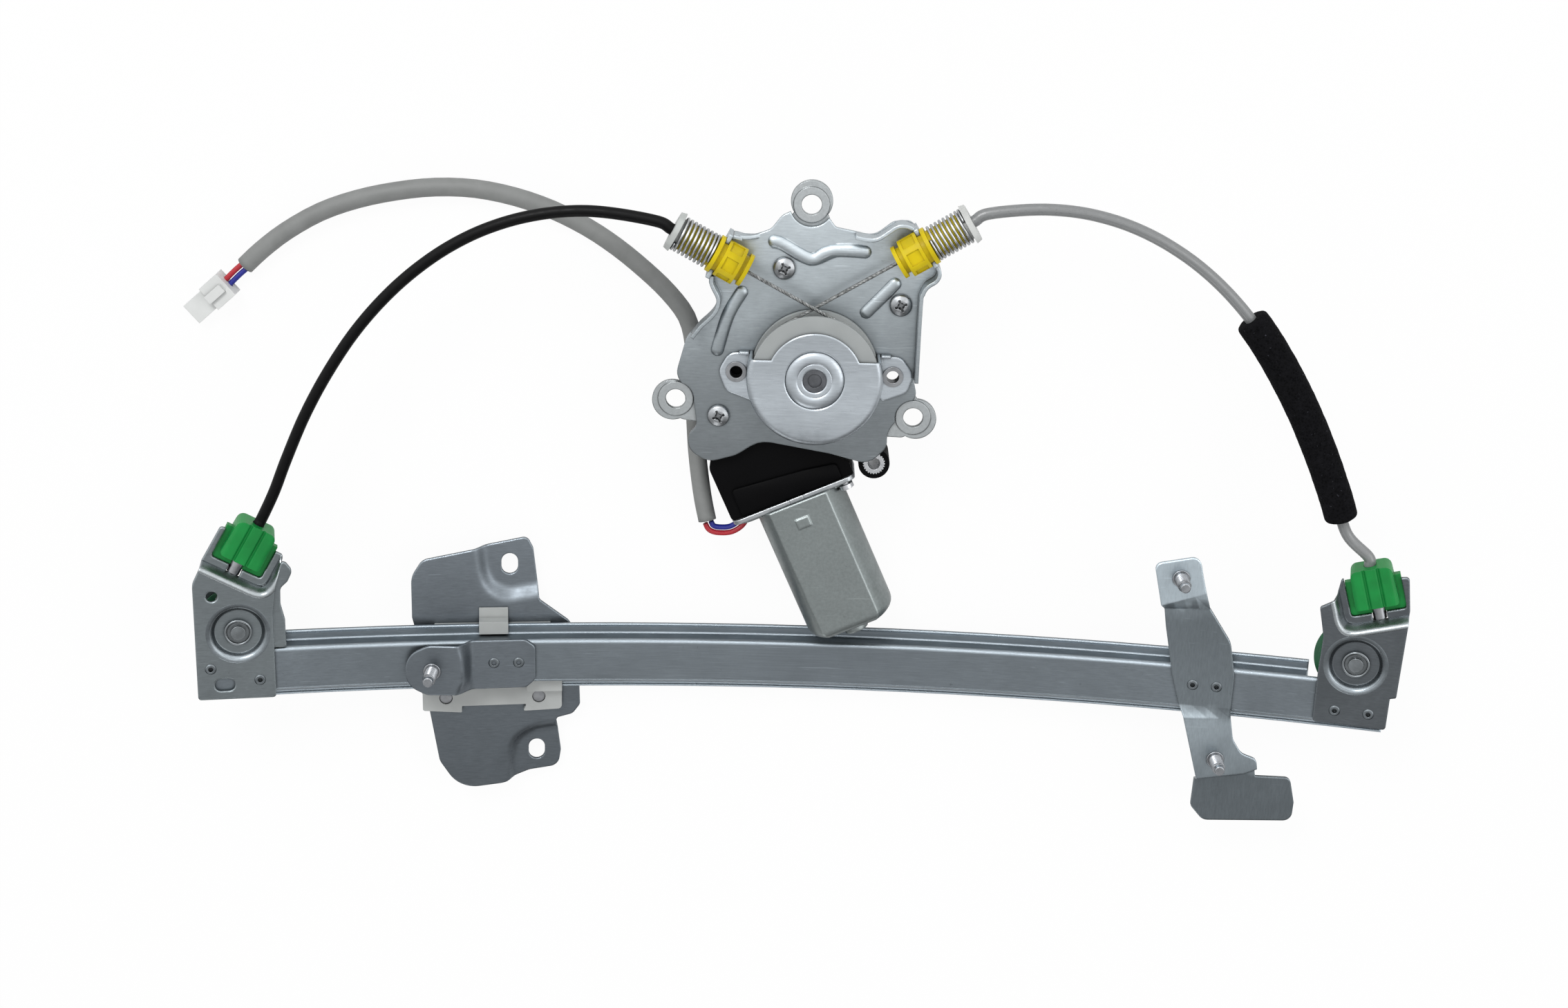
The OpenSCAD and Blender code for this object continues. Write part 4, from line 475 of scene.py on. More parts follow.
# end brackets: face, the two edges of the step beside the guide, and closed cross-sections as
# (distance or radius, height)
END_FACE = {"left": [(-18.5, -166.8, 1.5), (-18.5, -112.5, 6), (-14, -103.2, 3), (-5.2, -87.9, 1.5),
                     (20.8, -102.6, 1.5), (17, -114, 3), (15.2, -128, 4), (15.2, -167.3, 1.5)],
            "right": [(-16, -164.6, 1.5), (-15.8, -140, 4), (-15, -124.5, 5), (-17.8, -111, 1.2),
                      (-11.2, -107, 0.8), (-9.8, -98.8, 1), (18.6, -94.9, 1.5), (20.4, -110, 4),
                      (18.6, -149.4, 1), (16, -150, 0.4), (15.5, -164.9, 1.5)]}
OUT_LINE = [(-16.5, -18.6), (-8, -18.6), (4, -18.6), (12, -18.4), (16, -16.6), (17.7, -12.4), (17.8, -6),
            (17.8, 6)]
IN_LINE = [(-16.5, -16.2), (-8, -16.2), (4, -16.2), (11.2, -15.9), (14, -14.8), (15.2, -11.6), (15.4, -6),
           (15.4, 6)]
BEND = [(-1.5, 1.5), (-1.4, 1.8), (-0.9, 1.95), (-0.3, 1.98), (0.3, 1.75), (0.8, 1.2), (1.3, 0.4),
        (1.8, -0.7), (2.3, -1.9), (2.75, -2.75), (3.1, -3.1), (3.2, -3.4), (1.2, -1.5), (-0.5, 1.2)]
DISH = [(10.15, -1.0), (10.15, -0.7), (10.3, -0.5), (10.6, 0.0), (10.9, 0.5), (11.3, 1.1), (11.8, 1.6),
        (12.3, 1.86), (12.9, 1.92), (13.6, 1.86), (14.2, 1.72), (14.2, 1.2), (12.3, 0.6)]
PIN_RIM = [(4.9, 0.6), (4.9, 1.0), (5.1, 1.2), (5.5, 1.32), (5.9, 1.2), (6.1, 1.0), (6.1, 0.6)]
HUB_BEAD = [(7.0, -0.4), (7.0, 0.4), (7.3, 0.7), (8.0, 0.9), (9.2, 0.95), (10.4, 0.8), (11.4, 0.5),
            (12.2, 0.1), (12.5, -0.4)]

# weld studs: places, (height, radius) below and above the thread, and the thread
STUDS = [(-159.5, -156), (170, -102), (192, -188)]
STUD_FOOT = [(-2.8, 0), (-2.8, 4.8), (-1.7, 4.8), (-1.6, 3.0), (0.0, 3.0), (0.0, 3.9), (0.6, 3.9),
             (0.8, 3.7), (0.8, 3.0), (1.2, 3.0)]
STUD_TIP = [(10.3, 2.7), (10.7, 2.35), (11.0, 2.2), (12.7, 2.2), (13.0, 1.9), (13.0, 0)]
THREAD_LOW = 1.4
THREAD_HIGH = 10.0
THREAD_PITCH = 1.0
THREAD_R = 3.0
THREAD_DEPTH = 0.55

# studio
FLOOR_SIZE = 6
FLOOR_GREY = 0.9
FLOOR_WHITE = 0.95  # share of white that the camera sees on the floor
AMBIENT = 0.55
MIRROR_LEAN = 1.5  # change of the reflected light with Y; the next is its change with Z
MIRROR_RISE = 0.15
MIRROR_MIDDLE = 1.16
MIRROR_LOW = 0.22
MIRROR_HIGH = 1.7
LAMPS = {"key": ((-0.7, 1.5, 1.7), 1.1, 26), "fill": ((1.5, 0.2, 1.5), 1.4, 9),
         "low": ((-0.4, -1.8, 0.9), 1.0, 5)}  # place, size and power
LAMP_AIM = (0, -0.05, 0)


def conduit_route(side, steps=4):
    """A conduit's path from its spring cap at the head to its guide at the rail."""
    start = LINE[side][2] + SPRING_LEN
    route = [line_point(side, start + t) for t in (14, 19, 25)]
    route += (LEFT_MID if side == "left" else RIGHT_MID) + [guide_point(side, t) for t in (13, 9, 4.5)]
    return spline(route, steps)


def beside(path, t):
    """A flat copy of the path, moved sideways by t."""
    out = []
    for i, p in enumerate(path):
        d = path[min(i + 1, len(path) - 1)] - path[max(i - 1, 0)]
        out.append(p + t * Vector((-d.y, d.x, 0)).normalized())
    return out


def place(piece, body, slot, material, *nodes):
    """A new piece rides on a body, stands for its nodes and takes a material; slot is not used."""
    piece.data.materials.append(material)
    if nodes:
        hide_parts(*nodes)
    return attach(piece, body)


# materials
PROBES = 6  # rays a point for rounded edges and for crevices


class Nodes:
    """Short calls that add and join the nodes of a tree."""

    def __init__(self, tree):
        self.tree = tree

    def node(self, kind, inputs=None, **settings):
        """A new node with these settings, and a value or a socket for some of its inputs."""
        made = self.tree.nodes.new("ShaderNode" + kind)
        for key, value in settings.items():
            setattr(made, key, value)
        for key, value in (inputs or {}).items():
            self.feed(made.inputs[key], value)
        return made

    def feed(self, socket, value):
        if isinstance(value, bpy.types.NodeSocket):
            self.tree.links.new(value, socket)
        else:
            socket.default_value = value

    def maths(self, operation, a, b):
        return self.node("Math", {0: a, 1: b}, operation=operation).outputs["Value"]


class Finish(Nodes):
    """Builder of one procedural material. Sizes are in metres, in the piece's own space."""

    def __init__(self, name, along=False):
        self.material = bpy.data.materials.new(name)
        self.material.use_nodes = True
        super().__init__(self.material.node_tree)
        self.shader = self.tree.nodes["Principled BSDF"]
        self.coords = self.node("TexCoord").outputs["UV" if along else "Object"]
        self.edge_mask = None
        self.normal = None

    def scaled(self, size, stretch=(1, 1, 1), turn=(0, 0, 0)):
        inputs = {"Vector": self.coords, "Rotation": turn, "Scale": [s / size for s in stretch]}
        return self.node("Mapping", inputs).outputs["Vector"]

    def noise(self, size, detail, rough, stretch=(1, 1, 1), turn=(0, 0, 0), warp=0.0):
        inputs = {"Vector": self.scaled(size, stretch, turn), "Scale": 1, "Detail": detail,
                  "Roughness": rough, "Distortion": warp}
        return self.node("TexNoise", inputs).outputs["Fac"]

    def cells(self, size):
        return self.node("TexVoronoi", {"Vector": self.scaled(size), "Scale": 1}).outputs["Distance"]

    def levels(self, value, low=0.3, high=0.7, start=0.0, end=1.0):
        """The value's span from low to high, mapped to start to end and held there."""
        inputs = {"Value": value, "From Min": low, "From Max": high, "To Min": start, "To Max": end}
        return self.node("MapRange", inputs).outputs["Result"]

    def mix(self, factor, a, b, blend="MIX"):
        a, b = (v if isinstance(v, bpy.types.NodeSocket) else (*v, 1) for v in (a, b))
        made = self.node("Mix", {"Factor": factor, 6: a, 7: b}, data_type="RGBA", blend_type=blend)
        return made.outputs[2]

    def blotch(self, mask, colour, drift):
        """Colour that drifts darker and lighter by a share, with a mask of noise."""
        return self.mix(self.levels(mask), shade(colour, 1 - drift), shade(colour, 1 + drift))

    def cover(self, base, mask, share, colour):
        """The base with a share of another colour where the mask is 1."""
        return self.mix(self.maths("MULTIPLY", mask, share), base, colour)

    def edges(self, radius, soft=0.995, full=0.86):
        """Rounds edges in shading; edge_mask goes from 0 to 1 for turns with cosines soft to full."""
        self.normal = self.node("Bevel", {"Radius": radius}, samples=PROBES).outputs["Normal"]
        sides = {0: self.normal, 1: self.node("NewGeometry").outputs["Normal"]}
        dot = self.node("VectorMath", sides, operation="DOT_PRODUCT")
        self.edge_mask = self.levels(dot.outputs["Value"], soft, full)

    def painted_shading_bands(self, base, steps):
        """Painted light and shade: colour brightened or dimmed along the piece's Y axis; steps are (place
        in mm, factor).
        """
        low, high = steps[0][0], steps[-1][0]
        brightest = 4
        parts = self.node("SeparateXYZ", {0: self.coords})
        drift = self.levels(self.noise(0.02, 3, 0.6), 0.3, 0.7, -0.004, 0.004)
        drifted = self.maths("ADD", parts.outputs["Y"], drift)
        ramp = self.node("ValToRGB", {"Fac": self.levels(drifted, low * MM, high * MM)})
        stops = ramp.color_ramp.elements
        for y, _ in steps[1:-1]:
            stops.new((y - low) / (high - low))
        for stop, (_, factor) in zip(stops, steps):
            stop.color = (*[factor / brightest] * 3, 1)
        scaled = self.mix(1.0, ramp.outputs["Color"], [brightest] * 3, "MULTIPLY")
        return self.mix(1.0, base, scaled, "MULTIPLY")

    def crevices(self, distance=0.002):
        """Mask that is 1 in narrow corners and gaps, for painted shade and grime there."""
        made = self.node("AmbientOcclusion", {"Distance": distance}, samples=PROBES)
        return self.levels(made.outputs["AO"], 0.82, 0.3)

    def bump(self, height, distance, strength):
        inputs = {"Strength": strength, "Distance": distance, "Height": height}
        if self.normal:
            inputs["Normal"] = self.normal
        self.normal = self.node("Bump", inputs).outputs["Normal"]

    def finish(self, **inputs):
        for key, value in inputs.items():
            self.feed(self.shader.inputs[key.replace("_", " ")], value)
        if self.normal:
            self.feed(self.shader.inputs["Normal"], self.normal)
        return self.material


def rgb(r, g, b):
    """Linear colour of an sRGB colour given as 0 to 255."""
    return tuple(c / 255 / 12.92 if c <= 10 else ((c / 255 + 0.055) / 1.055) ** 2.4 for c in (r, g, b))


def shade(colour, factor):
    return tuple(min(c * factor, 1.0) for c in colour)


def sheet_metal(name, colour, rough, cloud=0.12, streak=(1, 1, 1), spots=0.3, edge=1.25,
                bend=0.0008, scratch=0.25, painted_shading_bands=(), dirt_and_shade=0.8, worn_and_lit_span=(0.995, 0.86)):
    """Zinc-coated sheet: soft clouds, fine rolled grain, small dark spots, scratches; worn edges with a
    painted highlight where edge is above 1 and a painted dark outline where it is below 1; painted shade in
    crevices; painted light and shade along Y.
    """
    colour = rgb(*colour)
    f = Finish(name)
    f.edges(bend, *worn_and_lit_span)
    clouds = f.noise(0.045, 4, 0.6, warp=0.6)
    patches = f.noise(0.009, 5, 0.7)
    grain = f.noise(0.0014, 3, 0.7, streak)
    base = f.blotch(clouds, colour, cloud)
    base = f.mix(f.levels(patches, 0.35, 0.68, 0, 0.6), base, shade(colour, 1 - 1.2 * cloud))
    base = f.mix(f.levels(grain, 0.35, 0.7, 0, 0.5), base, shade(colour, 0.66))
    specks = f.levels(f.noise(0.0034, 4, 0.7), 0.67, 0.74, 0, spots)
    base = f.mix(specks, base, shade(colour, 0.4))
    lines = f.noise(0.004, 2, 0.7, (0.12, 3.2, 1), turn=(0, 0, 0.5), warp=0.3)
    lines = f.levels(lines, 0.68, 0.72, 0, scratch)
    base = f.mix(lines, base, shade(colour, 1.7))
    # Edges: wear plus a painted highlight where edge is above 1, a painted dark outline where it is below
    # 1.
    base = f.cover(base, f.edge_mask, 0.75, shade(colour, edge))
    # Painted light and shade along the piece's Y axis.
    if painted_shading_bands:
        base = f.painted_shading_bands(base, painted_shading_bands)
    # Painted shade in corners and gaps, with some grime.
    base = f.cover(base, f.crevices(), dirt_and_shade, shade(colour, 0.16))
    shine = f.levels(patches, 0.3, 0.7, rough - 0.07, rough + 0.09)
    shine = f.maths("SUBTRACT", shine, f.maths("MULTIPLY", f.edge_mask, 0.12))
    f.bump(grain, 0.00004, 0.5)
    f.bump(clouds, 0.0004, 0.35)
    return f.finish(Base_Color=base, Roughness=shine, Metallic=0.92)


def turned_metal(name, colour, rough, edge=1.25, gap=0.0016):
    """Plated small parts: brighter, with faint clouds, worn edges with a painted highlight, and painted
    shade in crevices.
    """
    colour = rgb(*colour)
    f = Finish(name)
    f.edges(0.00025)
    clouds = f.noise(0.004, 3, 0.6)
    grain = f.noise(0.0005, 2, 0.6)
    base = f.mix(f.levels(clouds), shade(colour, 0.82), shade(colour, 1.12))
    base = f.mix(f.levels(f.noise(0.0018, 4, 0.7), 0.6, 0.75, 0, 0.3), base, shade(colour, 0.4))
    # Edges: wear plus a painted highlight.
    base = f.cover(base, f.edge_mask, 0.6, shade(colour, edge))
    # Painted shade in crevices and recesses.
    base = f.cover(base, f.crevices(gap), 0.9, shade(colour, 0.08))
    f.bump(grain, 0.00003, 0.5)
    return f.finish(Base_Color=base, Roughness=f.levels(clouds, 0.3, 0.7, rough - 0.06, rough + 0.08),
                    Metallic=1.0)


def moulded(name, colour, rough, depth=0.16, grain=0.00003, edge=1.25, glow=0.0, scuff=0.12,
            gleam=0.5, gap=0.6):
    """Moulded plastic: slight colour drift, fine orange-peel, scuffs, worn edges with a painted highlight,
    and painted shade in crevices.
    """
    colour = rgb(*colour)
    f = Finish(name)
    f.edges(0.0004)
    drift = f.noise(0.011, 3, 0.5)
    peel = f.noise(0.0009, 2, 0.5)
    base = f.blotch(drift, colour, depth)
    marks = f.levels(f.noise(0.003, 3, 0.7, (0.3, 2.2, 1)), 0.66, 0.75, 0, scuff)
    base = f.mix(marks, base, shade(colour, 1.5))
    # Edges: wear plus a painted highlight.
    base = f.cover(base, f.edge_mask, 0.5, shade(colour, edge))
    # Painted shade in crevices and gaps.
    base = f.cover(base, f.crevices(), gap, shade(colour, 0.25))
    f.bump(peel, grain, 0.6)
    return f.finish(Base_Color=base, Roughness=f.levels(drift, 0.3, 0.7, rough - 0.06, rough + 0.08),
                    Subsurface_Weight=glow, Subsurface_Scale=0.002, Specular_IOR_Level=gleam)


def extruded(name, colour, rough, gleam=0.5):
    """Smooth extruded tube with faint lengthwise draw lines and dust."""
    colour = rgb(*colour)
    f = Finish(name, along=True)
    lines = f.noise(1.0, 2, 0.6, (40, 6, 1))
    dust = f.noise(1.0, 3, 0.6, (9, 240, 1))
    base = f.blotch(lines, colour, 0.12)
    base = f.mix(f.levels(dust, 0.58, 0.75, 0, 0.35), base, shade(colour, 1.7))
    f.bump(lines, 0.00003, 0.4)
    return f.finish(Base_Color=base, Roughness=f.levels(dust, 0.4, 0.7, rough, rough + 0.2),
                    Specular_IOR_Level=gleam)


def rope_finish():
    """Wire rope: steel wires with darker, greased stretches."""
    f = Finish("rope")
    dirt_and_shade = f.noise(0.0016, 3, 0.6)
    wires = f.noise(0.0003, 1, 0.5)
    base = f.mix(f.levels(dirt_and_shade, 0.35, 0.65), rgb(140, 142, 142), rgb(80, 82, 82))
    f.bump(wires, 0.00003, 0.6)
    return f.finish(Base_Color=base, Roughness=f.levels(dirt_and_shade, 0.3, 0.7, 0.28, 0.5), Metallic=0.9)


def foam_finish():
    """Foam: fine pores, dull black, with a few grey grains of lint."""
    f = Finish("foam")
    pores = f.cells(0.0011)
    clumps = f.noise(0.0035, 3, 0.6)
    base = f.mix(f.levels(pores, 0.1, 0.6), rgb(5, 5, 6), rgb(17, 17, 19))
    base = f.mix(f.levels(clumps, 0.45, 0.75, 0, 0.5), base, rgb(27, 27, 30))
    lint = f.levels(f.noise(0.0011, 2, 0.5), 0.7, 0.76, 0, 0.7)
    base = f.mix(lint, base, rgb(74, 74, 82))
    f.bump(pores, 0.0003, 0.9)
    f.bump(clumps, 0.0005, 0.5)
    return f.finish(Base_Color=base, Roughness=0.95, Specular_IOR_Level=0.06)


def sleeve_finish():
    """Grey harness tube: soft vinyl with faint wrinkles."""
    f = Finish("sleeve")
    folds = f.noise(0.012, 3, 0.6, warp=0.4)
    skin = f.noise(0.0012, 2, 0.6)
    base = f.mix(f.levels(folds), rgb(122, 124, 123), rgb(134, 136, 135))
    f.bump(skin, 0.00005, 0.4)
    f.bump(folds, 0.0003, 0.3)
    return f.finish(Base_Color=base, Roughness=f.levels(folds, 0.3, 0.7, 0.5, 0.66))


def core_finish():
    """Armature: laminations and enamelled copper in fine layers."""
    f = Finish("core")
    layers = f.noise(0.0005, 1, 0.5)
    base = f.mix(f.levels(layers, 0.4, 0.6), rgb(150, 88, 48), rgb(98, 62, 42))
    return f.finish(Base_Color=base, Roughness=0.4, Metallic=0.8)


def finishes():
    """The material of every CAD node, and of the end brackets' two pressed forms, by name."""
    steel, brushed = (113, 120, 126), (0.3, 2, 1)
    # In these finishes, edge above 1 paints highlights on edges and below 1 a dark outline, the steps along
    # Y paint light and shade, and the crevice shares paint shade in corners.
    worn = {
        # Painted light towards +Y and painted shade towards -Y; edge 0.8 paints darker outlines.
        "drum_plate": sheet_metal(
            "drum_plate_zinc", (148, 155, 159), 0.38, 0.14, (0.25, 2, 1), scratch=0.4, edge=0.8,
            dirt_and_shade=1.0, painted_shading_bands=[(-50, 0.68), (-12, 0.9), (20, 1.36), (50, 1.85)]),
        # Edge 0.1 paints a dark outline along the bracket's edges.
        "motor_bracket": sheet_metal("bracket_zinc", (180, 185, 187), 0.32, bend=0.0007, edge=0.1),
        # Painted shade at the lower rim and painted light just above it.
        "drum_cover": sheet_metal(
            "cover_zinc", (176, 183, 189), 0.3, 0.08, (0.2, 2, 1), spots=0.2, bend=0.0012, dirt_and_shade=1.0,
            painted_shading_bands=[(-43, 0.3), (-39, 0.7), (-34, 1.0), (-22, 1.2), (-4, 1.0), (12, 0.9)]),
        "motor_can": sheet_metal("can_zinc", (138, 145, 145), 0.36, 0.1, bend=0.0012, edge=1.7),
        "motor_flange": sheet_metal("flange_zinc", (176, 180, 183), 0.34),
        # Edge 2.9 with a narrow span paints bright highlight lines on the rail's faceted bends.
        "rail": sheet_metal("rail_steel", (124, 132, 138), 0.36, 0.16, (0.06, 2.4, 2), spots=0.5,
                            edge=2.9, bend=0.0011, worn_and_lit_span=(0.999, 0.98)),
        "left_bracket left_back_plate right_back_plate": sheet_metal(
            "end_steel", (120, 127, 130), 0.4, 0.16, brushed, edge=1.8, bend=0.0012, dirt_and_shade=0.35),
        "right_bracket": sheet_metal("right_end_steel", (94, 99, 103), 0.4, 0.24, brushed, spots=0.5,
                                     edge=2.2, bend=0.0012, dirt_and_shade=0.35),
        # A lighter copy of the end steel: a painted highlight along the step.
        "end_bend": sheet_metal("end_bend_steel_highlit", (158, 164, 167), 0.26, dirt_and_shade=0.5),
        # Painted highlight on the dish's lower side and painted shade on its upper side.
        "end_dish": sheet_metal("end_dish_steel", (104, 110, 114), 0.28, dirt_and_shade=0.5,
                                painted_shading_bands=[(-151, 2.4), (-144, 2.0), (-137, 1.1), (-121, 0.75)]),
        # Painted shade towards -Y and painted light towards +Y.
        "lift_plate": sheet_metal("lift_steel", steel, 0.4, 0.12, brushed, spots=0.25, bend=0.001,
                                  edge=1.9, painted_shading_bands=[(-225, 0.72), (-180, 0.86), (-130, 1.0), (-100, 1.2)]),
        "stud_bracket": sheet_metal("stud_bracket_steel", steel, 0.36, 0.12, brushed, bend=0.001, edge=1.7),
        # Painted light on the faces that turn towards the light, in steps along Y.
        "cross_bracket": sheet_metal(
            "cross_bracket_steel", (118, 126, 131), 0.36, 0.14, (2, 0.3, 1), bend=0.001, edge=1.6,
            painted_shading_bands=[(-222, 0.82), (-199, 0.86), (-197, 1.3), (-190, 1.7), (-170, 1.95), (-164, 1.05),
                   (-122, 0.92), (-117, 1.2), (-114, 2.75), (-92, 2.9)]),
        "thread_insert can_screws": turned_metal("bright_zinc", (196, 198, 201), 0.24),
        # A wide crevice reach paints shade in the cross recesses.
        "plate_screws": turned_metal("screw_zinc", (150, 153, 156), 0.3, gap=0.0024),
        "studs": turned_metal("stud_zinc", (150, 153, 157), 0.26),
        "left_spring right_spring": turned_metal("spring_steel", (178, 180, 181), 0.28, gap=0.001),
        "cover_eyelets armature_shaft guide_tubes slider_rivets cable_nipples": turned_metal(
            "satin_steel", (146, 148, 151), 0.34),
        # A wide crevice reach paints shade round the rivets.
        "bracket_rivets": turned_metal("rivet_steel", (112, 118, 122), 0.34, gap=0.003),
        # Painted highlight on the rims and painted shade in the groove.
        "pulley_pins": turned_metal("pin_steel", (124, 129, 132), 0.28, edge=2.0, gap=0.0036),
        "output_shaft": turned_metal("dull_steel", (96, 98, 102), 0.4),
        "commutator": turned_metal("copper", (190, 120, 70), 0.35),
        "armature_bearings": turned_metal("bronze", (170, 140, 90), 0.5),
        "left_conduit_guide right_conduit_guide": moulded("guide_green", (14, 130, 58), 0.4,
                                                          glow=0.05, gleam=0.3),
        "left_cable_guide right_cable_guide": moulded("guide_yellow", (204, 182, 8), 0.42, glow=0.05,
                                                      gap=0.25, gleam=0.25),
        # Edge 4 paints highlights along the housing's edges.
        "gear_housing gear_cover brush_card brushes": moulded(
            "housing_black", (4, 4, 5), 0.55, 0.25, 0.00006, edge=4, gleam=0.06),
        "left_pulley right_pulley": moulded("pulley_green", (30, 90, 58), 0.42),
        "slider": moulded("slider_white", (172, 175, 174), 0.45, 0.06),
        "drum": moulded("die_cast", (158, 162, 162), 0.4, 0.04, scuff=0.05),
        "worm_wheel": moulded("natural_nylon", (226, 222, 206), 0.5, glow=0.1),
        "left_spring_cap": moulded("cap_grey", (178, 182, 180), 0.5),
        "right_spring_cap": moulded("cap_white", (206, 208, 206), 0.5),
        "magnets": moulded("ferrite", (60, 60, 62), 0.6),
        "plug": moulded("plug_white", (216, 218, 217), 0.4, 0.04),
        "left_conduit": extruded("conduit_black", (7, 7, 8), 0.36, gleam=0.12),
        "right_conduit": extruded("conduit_grey", (124, 126, 127), 0.26, gleam=0.7),
        "red_lead": extruded("lead_red", (176, 36, 48), 0.35),
        "blue_lead": extruded("lead_blue", (30, 38, 138), 0.35),
        "left_head_rope right_head_rope rail_rope": rope_finish(), "foam_sleeve": foam_finish(),
        "harness_sleeve": sleeve_finish(), "armature_core": core_finish()}
    return {name: material for names, material in worn.items() for name in names.split()}


# new pieces
def make_harness(look):
    """Harness tube, and its two leads where they come out at both ends."""
    path = spline(mm(SLEEVE_ROUTE), 3)
    sleeve = tube("harness_tube", path, ring(SLEEVE_D / 2 * MM, 24))
    apart = 1.35 * MM
    for name, side in (("red", 1), ("blue", -1)):
        ends = (("loop", LEAD_LOOP, side * apart, [f"{name}_lead"]), ("tail", LEAD_TAIL, -side * apart, []))
        for part, points, shift, nodes in ends:
            way = beside(spline(mm(points), 5), shift)
            lead = tube(f"{name}_lead_{part}", way, ring(LEAD_D / 2 * MM, 14))
            place(lead, "frame", f"lead_{name}", look[f"{name}_lead"], *nodes)
    place(sleeve, "frame", "sleeve_grey", look["harness_sleeve"], "harness_sleeve")
    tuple(path[0])
    round(length_of(path), 3)


def make_conduits(look):
    """Both conduits, and the foam on the right one."""
    for side, slot in (("left", "conduit_black"), ("right", "conduit_grey")):
        path = mm(conduit_route(side, 8))
        conduit = tube(f"{side}_conduit_tube", path, ring(CONDUIT_D / 2 * MM, 24))
        place(conduit, "frame", slot, look[f"{side}_conduit"], f"{side}_conduit")
    route = conduit_route("right")[FOAM_SPAN[0]:FOAM_SPAN[1] + 1]
    path = spread(mm(spline(route, 3)), 0.6 * MM)

    def lumps(way, turn):
        at = Vector((cos(turn) * 2.2, sin(turn) * 2.2, way / (3.4 * MM)))
        fine = Vector((cos(turn) * 8, sin(turn) * 8, way / (0.9 * MM)))
        return 1 + 0.016 * noise.noise(at) + 0.008 * noise.noise(fine) - 0.014
    foam = tube("foam_tube", path, ring(FOAM_D / 2 * MM, 72), scale=lumps, round_ends=2.0 * MM)
    place(foam, "frame", "foam_black", look["foam_sleeve"], "foam_sleeve")


def make_springs(look):
    """Compression springs with closed ends, between the cable guides and their caps."""
    first = SPRING_SEAT + SPRING_WIRE / 2
    travel = SPRING_LEN - SPRING_WIRE - 0.1
    closed_pitch = SPRING_WIRE + COIL_GAP
    pitch = (travel - 2 * CLOSED_TURNS * closed_pitch) / (SPRING_TURNS - 2 * CLOSED_TURNS)
    steps = 40
    for side in ("left", "right"):
        base = line_frame(side) @ Matrix.Translation((LINE[side][2], 0, 0))
        path = []
        for i in range(SPRING_TURNS * steps + 1):
            t = i / steps
            tight = min(t, CLOSED_TURNS) + max(0.0, t - (SPRING_TURNS - CLOSED_TURNS))
            x = first + tight * closed_pitch + (t - tight) * pitch
            a = tau * t + 1.1
            path.append(base @ Vector((x, SPRING_R * cos(a), SPRING_R * sin(a))))
        spring = tube(f"{side}_coil_spring", mm(path), ring(SPRING_WIRE / 2 * MM, 12))
        place(spring, "frame", "spring_steel", look[f"{side}_spring"], f"{side}_spring")


def make_ropes(look):
    """Stranded ropes: drum to guides at the head, and tube to tube along the rail."""
    section = strand_ring(ROPE_D / 2 * MM)
    step, twist = 0.8 * MM, 100
    for side in ("left", "right"):
        angle, sign, start, lift = LINE[side]
        path = []
        for i in range(60):
            a = radians(angle + sign * (90 + 180 * (60 - i) / 60))
            path.append(DRUM + Vector((ROPE_R * cos(a), ROPE_R * sin(a), CABLE_Z + lift)))
        path += [line_point(side, (start + 3) * i / 24, lift) for i in range(25)]
        rope = tube(f"{side}_rope_run", spread(mm(path), step), section, twist)
        place(rope, "frame", "rope_steel", look[f"{side}_head_rope"], f"{side}_head_rope")
    path = [guide_point("left", -8), guide_point("left", -20)]
    for side in ("left", "right"):
        s, tilt, *_ = PULLEY[side]
        start, end = (180 - tilt, 270) if side == "left" else (-90, tilt)
        if side == "right":
            low = PULLEY["left"][0]
            path += [rail_point(low + (s - low) * i / 45, 0, PULLEY_Y - PULLEY_R, PULLEY_MID)
                     for i in range(1, 45)]
        for i in range(25):
            a = radians(start + (end - start) * i / 24)
            path.append(rail_point(s, PULLEY_R * cos(a), PULLEY_Y + PULLEY_R * sin(a), PULLEY_MID))
    path += [guide_point("right", -20), guide_point("right", -8)]
    rope = tube("rail_rope_run", spread(mm(path), step), section, twist)
    place(rope, "frame", "rope_steel", look["rail_rope"], "rail_rope")


def make_studs(look):
    """Weld studs with collar, rolled thread and dog point, one piece for all three."""
    count = int((THREAD_HIGH - THREAD_LOW) * 8 / THREAD_PITCH) + 1
    thread = [(THREAD_LOW + THREAD_PITCH / 8 * i, None) for i in range(count)]
    rings = STUD_FOOT + thread + STUD_TIP
    sides = 40
    verts, faces = [], []
    for x, y in STUDS:
        faces += band_faces(len(rings), sides, len(verts))
        for z, radius in rings:
            for k in range(sides):
                turn = k / sides
                r = radius
                if r is None:
                    wave = abs(2 * ((z / THREAD_PITCH - turn) % 1) - 1)
                    r = THREAD_R - THREAD_DEPTH * min(1.0, 1.25 * wave) * min(1.0, (z - THREAD_LOW) / 0.6)
                verts.append((x + r * cos(tau * turn), y + r * sin(tau * turn), z))
    studs = mesh_piece("threaded_studs", mm(verts), faces)
    studs.data.set_sharp_from_angle(angle=radians(34))
    place(studs, "frame", "stud_zinc", look["studs"], "studs")


